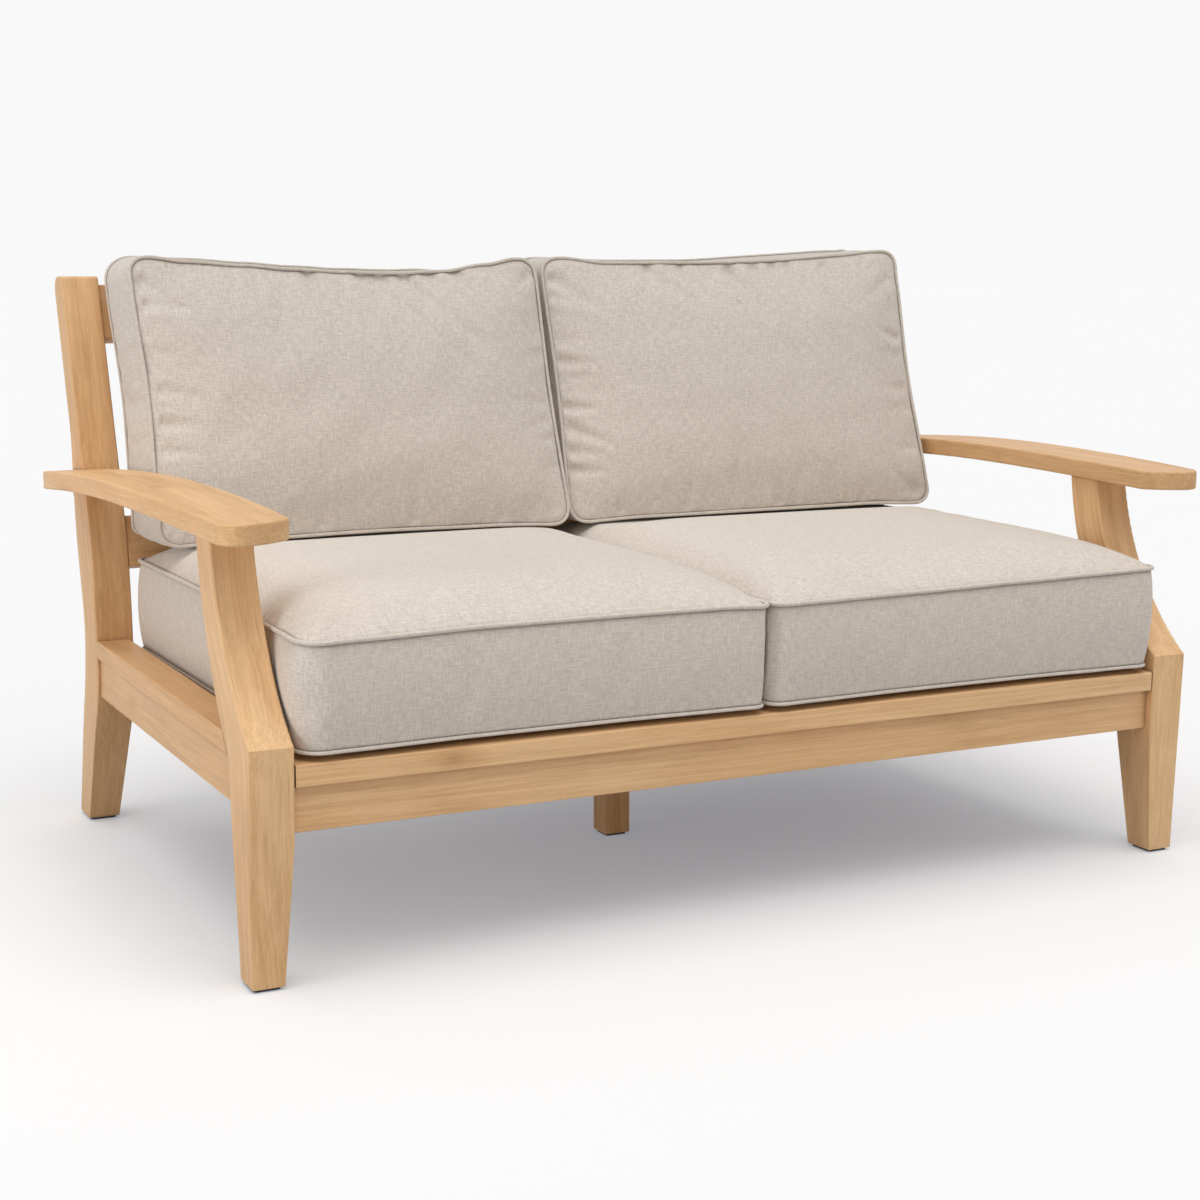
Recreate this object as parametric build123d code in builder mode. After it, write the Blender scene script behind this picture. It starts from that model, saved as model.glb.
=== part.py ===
from build123d import *
import os
from math import atan, cos, sin, sqrt

os.makedirs("parts", exist_ok=True)

# A two-seat deep-seating garden sofa of solid hardwood with four loose cushions.
# Millimetres. X runs across the seat, Y from the front to the back, Z up.
# The origin is on the ground, in the middle of the whole object's outline.

# Boards and heights of the frame
frame_width = 1465.0        # across the outer faces of the legs
leg_board = 58.0            # thickness of the leg and post boards, along X
glide_height = 4.0
apron_bottom = 197.0
front_cap_bottom = 257.0
seat_top = 286.0            # top of the front cap and of the slats
knee_height = 310.0         # where the front leg turns back
side_rail_bottom = 225.0
side_cap_top = 313.5
post_height = 870.0
edge_ease = 2.5             # rounding of the boards' long edges

# Depths, measured back from the vertical plane that the knees touch
cushion_proud = 12.0        # the seat cushions stand this far in front of the knees

# Fits
wood_fit = 0.3              # clearance of boards that meet and of tenons
rest_gap = 0.3              # cushion to what it lies on or leans on
overrun = 20.0              # how far cuts run past what they cut

leg_outer = frame_width / 2
leg_inner = leg_outer - leg_board

# Arm, bowed in side view and long and narrow in plan
arm_board = 27.5
arm_crest = 595.5           # highest point of the arm's top
arm_crest_y = 420.0
arm_front_drop = 9.5        # from the crest to the level of the knees
arm_tail_drop = 31.0        # from the crest to the rear end
arm_tail_y = 952.0
arm_nose_width = 94.0
arm_inner_set = 12.0        # the arm's inner edge stands inside the leg by this at the nose
arm_waist = 17.0            # how far the inner edge bows in from its chord
arm_tail_inner = 10.0       # the inner edge's end stands inside the post's outer face by this
arm_belly = 62.0            # widest reach outside the leg's outer face
arm_belly_y = 780.0
arm_quarter_reach = 53.5    # reach outside the leg half way along
arm_quarter_y = 525.0
arm_tail_width = 45.0
arm_nose_slant = 34.0       # the nose's inner corner lies this far behind its outer one
arm_nose_bow = 9.0
arm_tail_bow = 9.0
arm_nose_round = 30.0
arm_nose_inner_round = 17.0
arm_tail_round = 13.0
arm_edge_round = 3.0

# Front leg in side view
foot_front_set = 11.0
foot_depth = 48.0
leg_depth_at_apron = 82.0
leg_depth_at_shoulder = 89.0
leg_shoulder_height = 282.0
leg_top_front = 150.0
leg_top_depth = 62.0
leg_front_mid_y = 103.0     # a point of the concave front curve
leg_front_mid_z = 428.0
leg_rear_mid_y = 170.0      # a point of the curve behind it
leg_rear_mid_z = 412.0
foot_inner_taper = 15.0     # the foot narrows by this along X, on its inner side

# Rear post in side view
post_foot_front = 908.0
post_foot_depth = 62.0
post_apron_front = 812.0
post_apron_rear = 900.0
post_waist_front = 797.0
post_waist_rear = 876.0
post_waist_height = 312.0
post_rake_height = 516.0    # above this the post's front is straight
post_rake_front = 828.0
post_top_front = 948.0
post_hip_height = 515.0     # the rear is nearly upright behind the arm, from here
post_hip_rear = 915.5
post_hip_rise = 65.0
post_hip_lean = 4.5
post_bend_rise = 60.0       # from the upright part to where the post's rear is straight too
post_upper_depth = 58.0
post_top_round = 20.0
post_front_ease = 6.0
post_inner_taper = 6.0
post_outer_taper = 4.0

# Seat frame
apron_board = 25.0
apron_set = 17.0            # front apron behind the knee plane
front_cap_set = 3.0
front_cap_depth = 62.0
front_cap_gap = 2.0
side_rail_board = 25.0
side_rail_set = 5.5         # inside the legs' outer faces
side_cap_width = 52.0
rear_apron_y = 813.0
slat_count = 9
slat_width = 58.0
slat_board = 18.0
slat_leg_gap = 5.0          # from the legs and the posts to the first and last slats
ledger_width = 22.0
ledger_height = 25.0
beam_width = 40.0
beam_height = 58.0
middle_leg_width = 43.0
middle_leg_depth = 44.0
middle_leg_y = 456.0
tenon_thickness = 12.0
tenon_length = 24.0
tenon_shoulder = 9.0        # the rail is this much taller than its tenon, top and bottom
corner_block_length = 50.0
corner_block_depth = 36.0
corner_block_height = 52.0
corner_block_cut = 10.0

# Back frame, in the plane of the posts' raked front faces
back_rail_set = 6.0         # rails behind the posts' front faces
back_rail_board = 26.0
top_rail_height = 90.0
top_rail_centre_z = 817.0
low_rail_height = 80.0
low_rail_centre_z = 467.0
back_slat_count = 10
back_slat_width = 52.0
back_slat_board = 14.0
back_slat_tenon = 12.0
back_slat_edge = 72.5       # from a post to the centre of the outermost slat

# Cushions
cushion_side_gap = 7.1      # between a seat cushion and the leg
cushion_rear_gap = 8.0      # between a seat cushion and the low back rail
seat_lower_welt = 14.0      # heights over the cushion's underside
seat_boxing = 137.0
seat_crown = 37.0
cushion_gap = 0.8           # between the left and the right cushions
cushion_corner = 38.0
side_draw = 5.0             # how far a welted side pulls in between its corners
boxing_inset = 5.0          # the welts lie inside the boxing's fullest line by this
back_cushion_top = 905.0
back_cushion_pad = 38.0     # from the slats to the rear welt
back_boxing = 160.0
back_crown = 33.0
back_corner = 30.0
back_boxing_inset = 4.0

# Shares of a crown's height, and how far in from the welt each is reached
crown_height_shares = (0.35, 0.62, 0.84, 0.96, 1.0)
crown_inset_shares = (0.104, 0.248, 0.48, 0.76, 1.0)
seat_crown_flat = 167.0     # level middle of the seat crown, along X
seat_rear_inset = 125.0     # the same from the rear edge, which is fuller
seat_under_inset = 34.0
seat_under_share = 0.28
back_crown_flat = 114.0     # the same of the back cushion's front, up the slope
back_turn = 4.4             # degrees that the right back cushion stands turned
back_turn_set = 8.6         # and set back, so that it still leans on the back
back_rear_inset = 110.0
corner_growth_share = 0.12  # of the inset, added to a corner's radius on the crown

# Fasteners
dowel_diameter = 10.0
dowel_length = 36.0
dowel_pitch = 26.0
screw_shank = 4.0
screw_head = 8.0
screw_length = 32.0
screw_head_height = 2.2
bolt_shank = 8.0
bolt_head = 13.0
bolt_head_height = 5.5
bolt_length = 74.0
arm_screw_length = 80.0
bracket_steel = 2.5
bracket_leg = 13.0
bracket_width = 20.0
bracket_screw_length = 14.0
arm_screw_first_y = 868.0
arm_screw_pitch = 32.0
glide_inset = 4.0
glide_corner = 5.0
glide_pin = 3.0
glide_pin_length = 16.0

# Slope and angle of the posts' straight upper fronts
post_bend_height = post_hip_height + post_hip_rise + post_bend_rise
rake_slope = (post_top_front - post_rake_front) / (post_height - post_rake_height)
rake = atan(rake_slope)
post_corner_y = post_top_front + post_upper_depth
post_reach = post_corner_y + post_top_round * (1 - rake_slope - 1 / cos(rake))
knee_y = (cushion_proud - post_reach) / 2


def front_of_post(height):
    """Distance behind the knee plane of the straight part of the posts' front."""
    return post_rake_front + (height - post_rake_height) * rake_slope


def rear_of_post(height):
    """Distance behind the knee plane of the posts' nearly upright rear, behind the arm."""
    return post_hip_rear + (height - post_hip_height) * post_hip_lean / post_hip_rise


def arm_top_at(y):
    """Height of the arm's top, which falls as a circle on each side of the crest."""
    if y < arm_crest_y:
        run, drop = arm_crest_y, arm_front_drop
    else:
        run, drop = arm_tail_y - arm_crest_y, arm_tail_drop
    radius = (run**2 + drop**2) / (2 * drop)
    return arm_crest - radius + sqrt(radius**2 - (y - arm_crest_y) ** 2)


def mirrored(piece):
    """The same piece for the other side of the seat."""
    with BuildPart() as other:
        mirror(piece.part, about=Plane.YZ)
    return other


def keep(piece, name):
    """Label a finished piece and write it."""
    piece.part.label = name
    export_step(piece.part, "parts/" + name + ".step")


# The raked plane of the posts' fronts: x across, y up the slope, z forward
back_centre_z = (top_rail_centre_z + low_rail_centre_z) / 2
back_plane = Plane(
    origin=(0, knee_y + front_of_post(back_centre_z), back_centre_z),
    x_dir=(1, 0, 0),
    z_dir=(0, -cos(rake), sin(rake)),
)


def up_the_slope(height):
    """Coordinate in the raked plane of a height over the ground."""
    return (height - back_centre_z) / cos(rake)


def behind_knees(y, z):
    """A point of a side outline: y back from the knee plane, z up from the ground."""
    return (knee_y + y, z)


def under_arm(y):
    """Height of the arm's underside, y back from the knee plane."""
    return arm_top_at(y) - arm_board


# Side outline of the front leg: tapered foot, then a sweep back from the knee to the arm
leg_top_rear = leg_top_front + leg_top_depth
with BuildSketch() as leg_side:
    with BuildLine():
        Polyline(
            behind_knees(leg_depth_at_shoulder, leg_shoulder_height),
            behind_knees(leg_depth_at_apron, apron_bottom),
            behind_knees(foot_front_set + foot_depth, glide_height),
            behind_knees(foot_front_set, glide_height),
            behind_knees(0, knee_height),
        )
        ThreePointArc(
            behind_knees(0, knee_height),
            behind_knees(leg_front_mid_y, leg_front_mid_z),
            behind_knees(leg_top_front, under_arm(leg_top_front) - wood_fit),
        )
        Line(
            behind_knees(leg_top_front, under_arm(leg_top_front) - wood_fit),
            behind_knees(leg_top_rear, under_arm(leg_top_rear) - wood_fit),
        )
        ThreePointArc(
            behind_knees(leg_top_rear, under_arm(leg_top_rear) - wood_fit),
            behind_knees(leg_rear_mid_y, leg_rear_mid_z),
            behind_knees(leg_depth_at_shoulder, leg_shoulder_height),
        )
    make_face()

# Side outline of the rear post: splayed foot, a waist behind the seat, a straight raked back
with BuildSketch() as post_side:
    with BuildLine():
        Polyline(
            behind_knees(post_apron_rear, apron_bottom),
            behind_knees(post_foot_front + post_foot_depth, glide_height),
            behind_knees(post_foot_front, glide_height),
            behind_knees(post_apron_front, apron_bottom),
        )
        Spline(
            behind_knees(post_apron_front, apron_bottom),
            behind_knees(post_waist_front, post_waist_height),
            behind_knees(post_rake_front, post_rake_height),
            tangents=[
                (post_apron_front - post_foot_front, apron_bottom - glide_height),
                (post_top_front - post_rake_front, post_height - post_rake_height),
            ],
        )
        Polyline(
            behind_knees(post_rake_front, post_rake_height),
            behind_knees(post_top_front, post_height),
            behind_knees(post_corner_y, post_height),
            behind_knees(front_of_post(post_bend_height) + post_upper_depth, post_bend_height),
        )
        Spline(
            behind_knees(front_of_post(post_bend_height) + post_upper_depth, post_bend_height),
            behind_knees(post_hip_rear + post_hip_lean, post_hip_height + post_hip_rise),
            tangents=[
                (post_rake_front - post_top_front, post_rake_height - post_height),
                (-post_hip_lean, -post_hip_rise),
            ],
        )
        Line(
            behind_knees(post_hip_rear + post_hip_lean, post_hip_height + post_hip_rise),
            behind_knees(post_hip_rear, post_hip_height),
        )
        Spline(
            behind_knees(post_hip_rear, post_hip_height),
            behind_knees(post_waist_rear, post_waist_height),
            behind_knees(post_apron_rear, apron_bottom),
            tangents=[
                (-post_hip_lean, -post_hip_rise),
                (
                    post_foot_front + post_foot_depth - post_apron_rear,
                    glide_height - apron_bottom,
                ),
            ],
        )
    make_face()
    for corner, radius in (
        (behind_knees(post_corner_y, post_height), post_top_round),
        (behind_knees(post_top_front, post_height), post_front_ease),
    ):
        fillet(post_side.vertices().sort_by_distance(corner)[0], radius=radius)

# Places of the dowels between leg and arm, and of the screws between post and arm
dowel_centre_y = leg_top_front + leg_top_depth / 2
dowel_centre_z = under_arm(dowel_centre_y)
dowel_places = [
    (leg_outer - leg_board / 2, knee_y + dowel_centre_y - dowel_pitch / 2),
    (leg_outer - leg_board / 2, knee_y + dowel_centre_y + dowel_pitch / 2),
]
arm_screw_places = [
    behind_knees(y, arm_top_at(y) - arm_board / 2)
    for y in (arm_screw_first_y, arm_screw_first_y + arm_screw_pitch)
]

# The angle under the arm's tail: its corner, and the planes of its two screws
bracket_y = rear_of_post(arm_crest - arm_tail_drop - arm_board)
bracket_z = under_arm(bracket_y) - wood_fit
bracket_middle = (bracket_steel + bracket_leg) / 2
bracket_drop = under_arm(bracket_y) - under_arm(bracket_y + bracket_leg)
post_screw_plane = Plane(
    origin=(
        leg_outer - bracket_width / 2,
        knee_y + rear_of_post(bracket_z - bracket_middle),
        bracket_z - bracket_middle,
    ),
    x_dir=(1, 0, 0),
    z_dir=(0, post_hip_rise, -post_hip_lean),
)
tail_screw_plane = Plane(
    origin=(
        leg_outer - arm_tail_inner / 2,
        knee_y + bracket_y + bracket_middle,
        under_arm(bracket_y + bracket_middle) - wood_fit,
    ),
    x_dir=(1, 0, 0),
    z_dir=(0, -bracket_drop, -bracket_leg),
)

# Right arm: a bowed side outline, cut to the plan outline and rebated round the post
arm_front_y = -overrun
front_quarter = (arm_crest_y + arm_front_y) / 2
rear_quarter = (arm_crest_y + arm_tail_y) / 2
inner_nose_x = leg_inner - arm_inner_set
inner_tail_x = leg_outer - arm_tail_inner
with BuildPart() as arm_right:
    with BuildSketch(Plane.YZ):
        with BuildLine():
            ThreePointArc(
                behind_knees(arm_front_y, arm_top_at(arm_front_y)),
                behind_knees(front_quarter, arm_top_at(front_quarter)),
                behind_knees(arm_crest_y, arm_crest),
            )
            ThreePointArc(
                behind_knees(arm_crest_y, arm_crest),
                behind_knees(rear_quarter, arm_top_at(rear_quarter)),
                behind_knees(arm_tail_y, arm_top_at(arm_tail_y)),
            )
            Line(
                behind_knees(arm_tail_y, arm_top_at(arm_tail_y)),
                behind_knees(arm_tail_y, under_arm(arm_tail_y)),
            )
            ThreePointArc(
                behind_knees(arm_tail_y, under_arm(arm_tail_y)),
                behind_knees(rear_quarter, under_arm(rear_quarter)),
                behind_knees(arm_crest_y, arm_crest - arm_board),
            )
            ThreePointArc(
                behind_knees(arm_crest_y, arm_crest - arm_board),
                behind_knees(front_quarter, under_arm(front_quarter)),
                behind_knees(arm_front_y, under_arm(arm_front_y)),
            )
            Line(
                behind_knees(arm_front_y, under_arm(arm_front_y)),
                behind_knees(arm_front_y, arm_top_at(arm_front_y)),
            )
        make_face()
    extrude(amount=leg_outer + arm_belly + overrun)
    with BuildSketch(Plane.XY) as arm_plan:
        outer_corner = (inner_nose_x + arm_nose_width, knee_y)
        inner_corner = (inner_nose_x, knee_y + arm_nose_slant)
        nose_middle = (
            inner_nose_x + arm_nose_width / 2,
            knee_y + arm_nose_slant / 2 - arm_nose_bow,
        )
        inner_tail = (inner_tail_x, knee_y + arm_tail_y)
        outer_tail = (inner_tail_x + arm_tail_width, knee_y + arm_tail_y - arm_tail_round)
        waist = (
            (inner_nose_x + inner_tail_x) / 2 - arm_waist,
            knee_y + (arm_nose_slant + arm_tail_y) / 2,
        )
        belly = (leg_outer + arm_belly, knee_y + arm_belly_y)
        tail_bend = (
            (outer_tail[0] + belly[0]) / 2 + arm_tail_bow,
            (outer_tail[1] + belly[1]) / 2,
        )
        with BuildLine():
            ThreePointArc(outer_corner, nose_middle, inner_corner)
            ThreePointArc(inner_corner, waist, inner_tail)
            Line(inner_tail, outer_tail)
            ThreePointArc(outer_tail, tail_bend, belly)
            ThreePointArc(
                belly, (leg_outer + arm_quarter_reach, knee_y + arm_quarter_y), outer_corner
            )
        make_face()
        for corner, radius in (
            (outer_corner, arm_nose_round),
            (inner_corner, arm_nose_inner_round),
            (outer_tail, arm_tail_round),
            (inner_tail, arm_tail_round),
        ):
            fillet(arm_plan.vertices().sort_by_distance(corner)[0], radius=radius)
    extrude(amount=arm_crest + overrun, mode=Mode.INTERSECT)
    smooth_rim = arm_right.edges() - arm_right.edges().filter_by(Axis.Z)
    fillet(smooth_rim - arm_right.edges().filter_by(Axis.X), radius=arm_edge_round)
    with BuildSketch(Plane.YZ):
        with BuildLine():
            rebate_low = under_arm(arm_tail_y) - overrun
            rebate_high = arm_crest + overrun
            Polyline(
                behind_knees(front_of_post(rebate_low) - wood_fit, rebate_low),
                behind_knees(front_of_post(rebate_high) - wood_fit, rebate_high),
                behind_knees(rear_of_post(rebate_high) + wood_fit, rebate_high),
                behind_knees(rear_of_post(rebate_low) + wood_fit, rebate_low),
                close=True,
            )
        make_face()
    extrude(amount=leg_outer + wood_fit, mode=Mode.SUBTRACT)
    with BuildSketch(Plane.XY.offset(dowel_centre_z - overrun)):
        with Locations(*dowel_places):
            Circle((dowel_diameter + wood_fit) / 2)
    extrude(amount=overrun + dowel_length / 2 + wood_fit, mode=Mode.SUBTRACT)
    with BuildSketch(Plane.YZ.offset(leg_inner)):
        with Locations(*arm_screw_places):
            Circle((screw_shank + wood_fit) / 2)
    extrude(amount=arm_screw_length + wood_fit, mode=Mode.SUBTRACT)
    with Locations(tail_screw_plane):
        Hole(radius=(screw_shank + wood_fit) / 2, depth=bracket_screw_length)

# Front leg
rail_centre_x = leg_outer - side_rail_set - side_rail_board / 2
rail_centre_z = (seat_top + side_rail_bottom) / 2
rail_tenon_height = seat_top - side_rail_bottom - 2 * tenon_shoulder
apron_centre_y = knee_y + apron_set + apron_board / 2
apron_centre_z = (front_cap_bottom + apron_bottom) / 2
apron_tenon_height = front_cap_bottom - apron_bottom - 2 * tenon_shoulder
front_bolt_place = (
    knee_y + apron_set + apron_board + corner_block_depth / 2,
    front_cap_bottom - corner_block_height / 2,
)
rear_bolt_place = (
    knee_y + rear_apron_y + apron_board + corner_block_depth / 2,
    side_rail_bottom + corner_block_height / 2,
)
bolt_start = leg_inner - corner_block_length
front_foot_centre = (
    leg_outer - (leg_board - foot_inner_taper) / 2,
    knee_y + foot_front_set + foot_depth / 2,
)
rear_foot_centre = (
    (leg_inner + post_inner_taper + leg_outer - post_outer_taper) / 2,
    knee_y + post_foot_front + post_foot_depth / 2,
)
middle_foot_centre = (0, knee_y + middle_leg_y + middle_leg_depth / 2)
with BuildPart() as front_leg_right:
    with BuildSketch(Plane.YZ.offset(leg_inner)):
        add(leg_side.sketch)
    extrude(amount=leg_board)
    fillet(front_leg_right.faces().filter_by(Axis.X).edges(), radius=edge_ease)
    with BuildSketch(Plane.XZ.offset(-knee_y + overrun)):
        with BuildLine():
            Polyline(
                (leg_inner - overrun, apron_bottom),
                (leg_inner, apron_bottom),
                (leg_inner + foot_inner_taper, glide_height),
                (leg_inner + foot_inner_taper, 0),
                (leg_inner - overrun, 0),
                close=True,
            )
        make_face()
    extrude(amount=-leg_depth_at_apron - 2 * overrun, mode=Mode.SUBTRACT)
    with BuildSketch(Plane.YZ.offset(leg_inner)):
        with Locations((apron_centre_y, apron_centre_z)):
            Rectangle(tenon_thickness + wood_fit, apron_tenon_height + wood_fit)
    extrude(amount=tenon_length + wood_fit, mode=Mode.SUBTRACT)
    with BuildSketch(Plane.YZ.offset(leg_inner)):
        with Locations(front_bolt_place):
            Circle((bolt_shank + wood_fit) / 2)
    extrude(amount=bolt_length - corner_block_length + wood_fit, mode=Mode.SUBTRACT)
    with BuildSketch(Plane.XZ.offset(-knee_y - leg_depth_at_shoulder - overrun)):
        with Locations((rail_centre_x, rail_centre_z)):
            Rectangle(tenon_thickness + wood_fit, rail_tenon_height + wood_fit)
    extrude(amount=overrun + tenon_length + wood_fit, mode=Mode.SUBTRACT)
    with BuildSketch(Plane.XY.offset(dowel_centre_z + overrun)):
        with Locations(*dowel_places):
            Circle((dowel_diameter + wood_fit) / 2)
    extrude(amount=-overrun - dowel_length / 2 - wood_fit, mode=Mode.SUBTRACT)
    with BuildSketch(Plane.XY):
        with Locations(front_foot_centre):
            Circle((glide_pin + wood_fit) / 2)
    extrude(amount=glide_height + glide_pin_length + wood_fit, mode=Mode.SUBTRACT)

# Rear post
with BuildPart() as rear_post_right:
    with BuildSketch(Plane.YZ.offset(leg_inner)):
        add(post_side.sketch)
    extrude(amount=leg_board)
    fillet(rear_post_right.faces().filter_by(Axis.X).edges(), radius=edge_ease)
    with BuildSketch(Plane.XZ.offset(-knee_y - post_waist_front + overrun)):
        for face_x, foot_x, side in (
            (leg_inner, leg_inner + post_inner_taper, -overrun),
            (leg_outer, leg_outer - post_outer_taper, overrun),
        ):
            with BuildLine():
                Polyline(
                    (face_x + side, apron_bottom),
                    (face_x, apron_bottom),
                    (foot_x, glide_height),
                    (foot_x, 0),
                    (face_x + side, 0),
                    close=True,
                )
            make_face()
    extrude(
        amount=post_waist_front - post_foot_front - post_foot_depth - 2 * overrun,
        mode=Mode.SUBTRACT,
    )
    with BuildSketch(Plane.XZ.offset(-knee_y - post_waist_front + overrun)):
        with Locations((rail_centre_x, rail_centre_z)):
            Rectangle(tenon_thickness + wood_fit, rail_tenon_height + wood_fit)
    extrude(amount=-overrun - tenon_length - wood_fit, mode=Mode.SUBTRACT)
    with BuildSketch(Plane.YZ.offset(leg_inner)):
        with Locations((knee_y + rear_apron_y + apron_board / 2, rail_centre_z)):
            Rectangle(tenon_thickness + wood_fit, rail_tenon_height + wood_fit)
    extrude(amount=tenon_length + wood_fit, mode=Mode.SUBTRACT)
    with BuildSketch(Plane.YZ.offset(leg_inner)):
        with Locations(rear_bolt_place):
            Circle((bolt_shank + wood_fit) / 2)
    extrude(amount=bolt_length - corner_block_length + wood_fit, mode=Mode.SUBTRACT)
    for centre_z, height in (
        (top_rail_centre_z, top_rail_height),
        (low_rail_centre_z, low_rail_height),
    ):
        with BuildSketch(back_plane.offset(-back_rail_set - back_rail_board / 2)):
            with Locations((leg_inner, up_the_slope(centre_z))):
                Rectangle(2 * tenon_length + wood_fit, height - 2 * tenon_shoulder + wood_fit)
        extrude(amount=(tenon_thickness + wood_fit) / 2, both=True, mode=Mode.SUBTRACT)
    with Locations(
        *[
            Plane(origin=(leg_inner, y, z), x_dir=(0, 1, 0), z_dir=(-1, 0, 0))
            for y, z in arm_screw_places
        ]
    ):
        CounterSinkHole(
            radius=(screw_shank + wood_fit) / 2,
            counter_sink_radius=(screw_head + wood_fit) / 2,
        )
    with Locations(post_screw_plane):
        Hole(radius=(screw_shank + wood_fit) / 2, depth=bracket_screw_length)
    with BuildSketch(Plane.XY):
        with Locations(rear_foot_centre):
            Circle((glide_pin + wood_fit) / 2)
    extrude(amount=glide_height + glide_pin_length + wood_fit, mode=Mode.SUBTRACT)

# Front apron between the front legs, and the cap board that stands proud over it
with BuildPart() as front_apron:
    with BuildSketch(Plane.XY.offset(apron_bottom)):
        with Locations((0, apron_centre_y)):
            Rectangle(2 * leg_inner, apron_board)
    extrude(amount=front_cap_bottom - apron_bottom)
    fillet(front_apron.edges().filter_by(Axis.X), radius=edge_ease / 2)
    with BuildSketch(Plane.XY.offset(apron_bottom + tenon_shoulder)):
        with Locations((0, apron_centre_y)):
            Rectangle(2 * (leg_inner + tenon_length), tenon_thickness)
    extrude(amount=apron_tenon_height)

with BuildPart() as front_cap:
    with BuildSketch(Plane.XY.offset(front_cap_bottom)):
        with Locations((0, knee_y + front_cap_set + front_cap_depth / 2)):
            Rectangle(2 * (leg_inner - front_cap_gap), front_cap_depth)
    extrude(amount=seat_top - front_cap_bottom)
    fillet(front_cap.edges().filter_by(Axis.X), radius=edge_ease)

# Side rail and its cap, their ends shaped to the leg and the post that they meet
side_middle_y = knee_y + (leg_depth_at_apron + post_apron_front) / 2
side_run = post_apron_front - leg_depth_at_apron
with BuildPart() as side_rail_right:
    with BuildSketch(Plane.XY.offset(side_rail_bottom)):
        with Locations((rail_centre_x, side_middle_y)):
            Rectangle(side_rail_board, side_run)
    extrude(amount=seat_top - side_rail_bottom)
    with BuildSketch(Plane.YZ):
        add(leg_side.sketch)
        add(post_side.sketch)
    extrude(amount=leg_outer + overrun, mode=Mode.SUBTRACT)
    with BuildSketch(Plane.XY.offset(side_rail_bottom + tenon_shoulder)):
        rail_tenon_front = leg_depth_at_shoulder - tenon_length
        rail_tenon_rear = post_waist_front + tenon_length
        with Locations((rail_centre_x, knee_y + (rail_tenon_front + rail_tenon_rear) / 2)):
            Rectangle(tenon_thickness, rail_tenon_rear - rail_tenon_front)
    extrude(amount=rail_tenon_height)

with BuildPart() as side_cap_right:
    with BuildSketch(Plane.XY.offset(seat_top)):
        with Locations((leg_outer - side_cap_width / 2, side_middle_y)):
            Rectangle(side_cap_width, side_run)
    extrude(amount=side_cap_top - seat_top)
    fillet(side_cap_right.edges().filter_by(Axis.Y), radius=edge_ease)
    with BuildSketch(Plane.YZ):
        add(leg_side.sketch)
        add(post_side.sketch)
    extrude(amount=leg_outer + overrun, mode=Mode.SUBTRACT)

# Rear apron between the posts
with BuildPart() as rear_apron:
    with BuildSketch(Plane.XY.offset(side_rail_bottom)):
        with Locations((0, knee_y + rear_apron_y + apron_board / 2)):
            Rectangle(2 * leg_inner, apron_board)
    extrude(amount=seat_top - side_rail_bottom)
    with BuildSketch(Plane.XY.offset(side_rail_bottom + tenon_shoulder)):
        with Locations((0, knee_y + rear_apron_y + apron_board / 2)):
            Rectangle(2 * (leg_inner + tenon_length), tenon_thickness)
    extrude(amount=rail_tenon_height)

# Seat slats, level with the front cap and screwed to the ledgers and the beam
slat_bottom = seat_top - slat_board
rail_inner_x = leg_outer - side_rail_set - side_rail_board
slat_first_y = knee_y + leg_depth_at_shoulder + slat_leg_gap + slat_width / 2
slat_last_y = knee_y + post_waist_front - slat_leg_gap - slat_width / 2
slat_screw_x = rail_inner_x - ledger_width / 2
slat_screw_places = []
for number in range(slat_count):
    slat_y = slat_first_y + (slat_last_y - slat_first_y) * number / (slat_count - 1)
    screw_places = [(x, slat_y) for x in (-slat_screw_x, 0, slat_screw_x)]
    slat_screw_places += screw_places
    with BuildPart() as seat_slat:
        with BuildSketch(Plane.XY.offset(slat_bottom)):
            with Locations((0, slat_y)):
                Rectangle(2 * (rail_inner_x - wood_fit), slat_width)
        extrude(amount=slat_board)
        top_edges = seat_slat.faces().sort_by(Axis.Z)[-1].edges().filter_by(Axis.X)
        fillet(top_edges, radius=edge_ease)
        with Locations(*[(x, y, seat_top) for x, y in screw_places]):
            CounterSinkHole(
                radius=(screw_shank + wood_fit) / 2,
                counter_sink_radius=(screw_head + wood_fit) / 2,
            )
    keep(seat_slat, "seat_slat_" + str(number + 1))

# Ledger inside the side rail, which carries the ends of the slats
with BuildPart() as ledger_right:
    with BuildSketch(Plane.XY.offset(slat_bottom - ledger_height)):
        with Locations((slat_screw_x, side_middle_y)):
            Rectangle(ledger_width, side_run)
    extrude(amount=ledger_height)
    with BuildSketch(Plane.YZ):
        add(leg_side.sketch)
        add(post_side.sketch)
    extrude(amount=leg_outer + overrun, mode=Mode.SUBTRACT)
    with BuildSketch(Plane.XY.offset(slat_bottom)):
        with Locations(*[(x, y) for x, y in slat_screw_places if x > 0]):
            Circle((screw_shank + wood_fit) / 2)
    extrude(amount=slat_board - screw_length - wood_fit, mode=Mode.SUBTRACT)

# Centre beam from front to back under the slats, on a leg of its own
beam_bottom = slat_bottom - beam_height
beam_front = apron_set + apron_board
with BuildPart() as centre_beam:
    with BuildSketch(Plane.YZ):
        with BuildLine():
            Polyline(
                behind_knees(beam_front, beam_bottom),
                behind_knees(beam_front, front_cap_bottom),
                behind_knees(front_cap_set + front_cap_depth + wood_fit, front_cap_bottom),
                behind_knees(front_cap_set + front_cap_depth + wood_fit, slat_bottom),
                behind_knees(rear_apron_y, slat_bottom),
                behind_knees(rear_apron_y, beam_bottom),
                close=True,
            )
        make_face()
    extrude(amount=beam_width / 2, both=True)
    with BuildSketch(Plane.XY.offset(slat_bottom)):
        with Locations(*[(x, y) for x, y in slat_screw_places if x == 0]):
            Circle((screw_shank + wood_fit) / 2)
    extrude(amount=slat_board - screw_length - wood_fit, mode=Mode.SUBTRACT)

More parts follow.
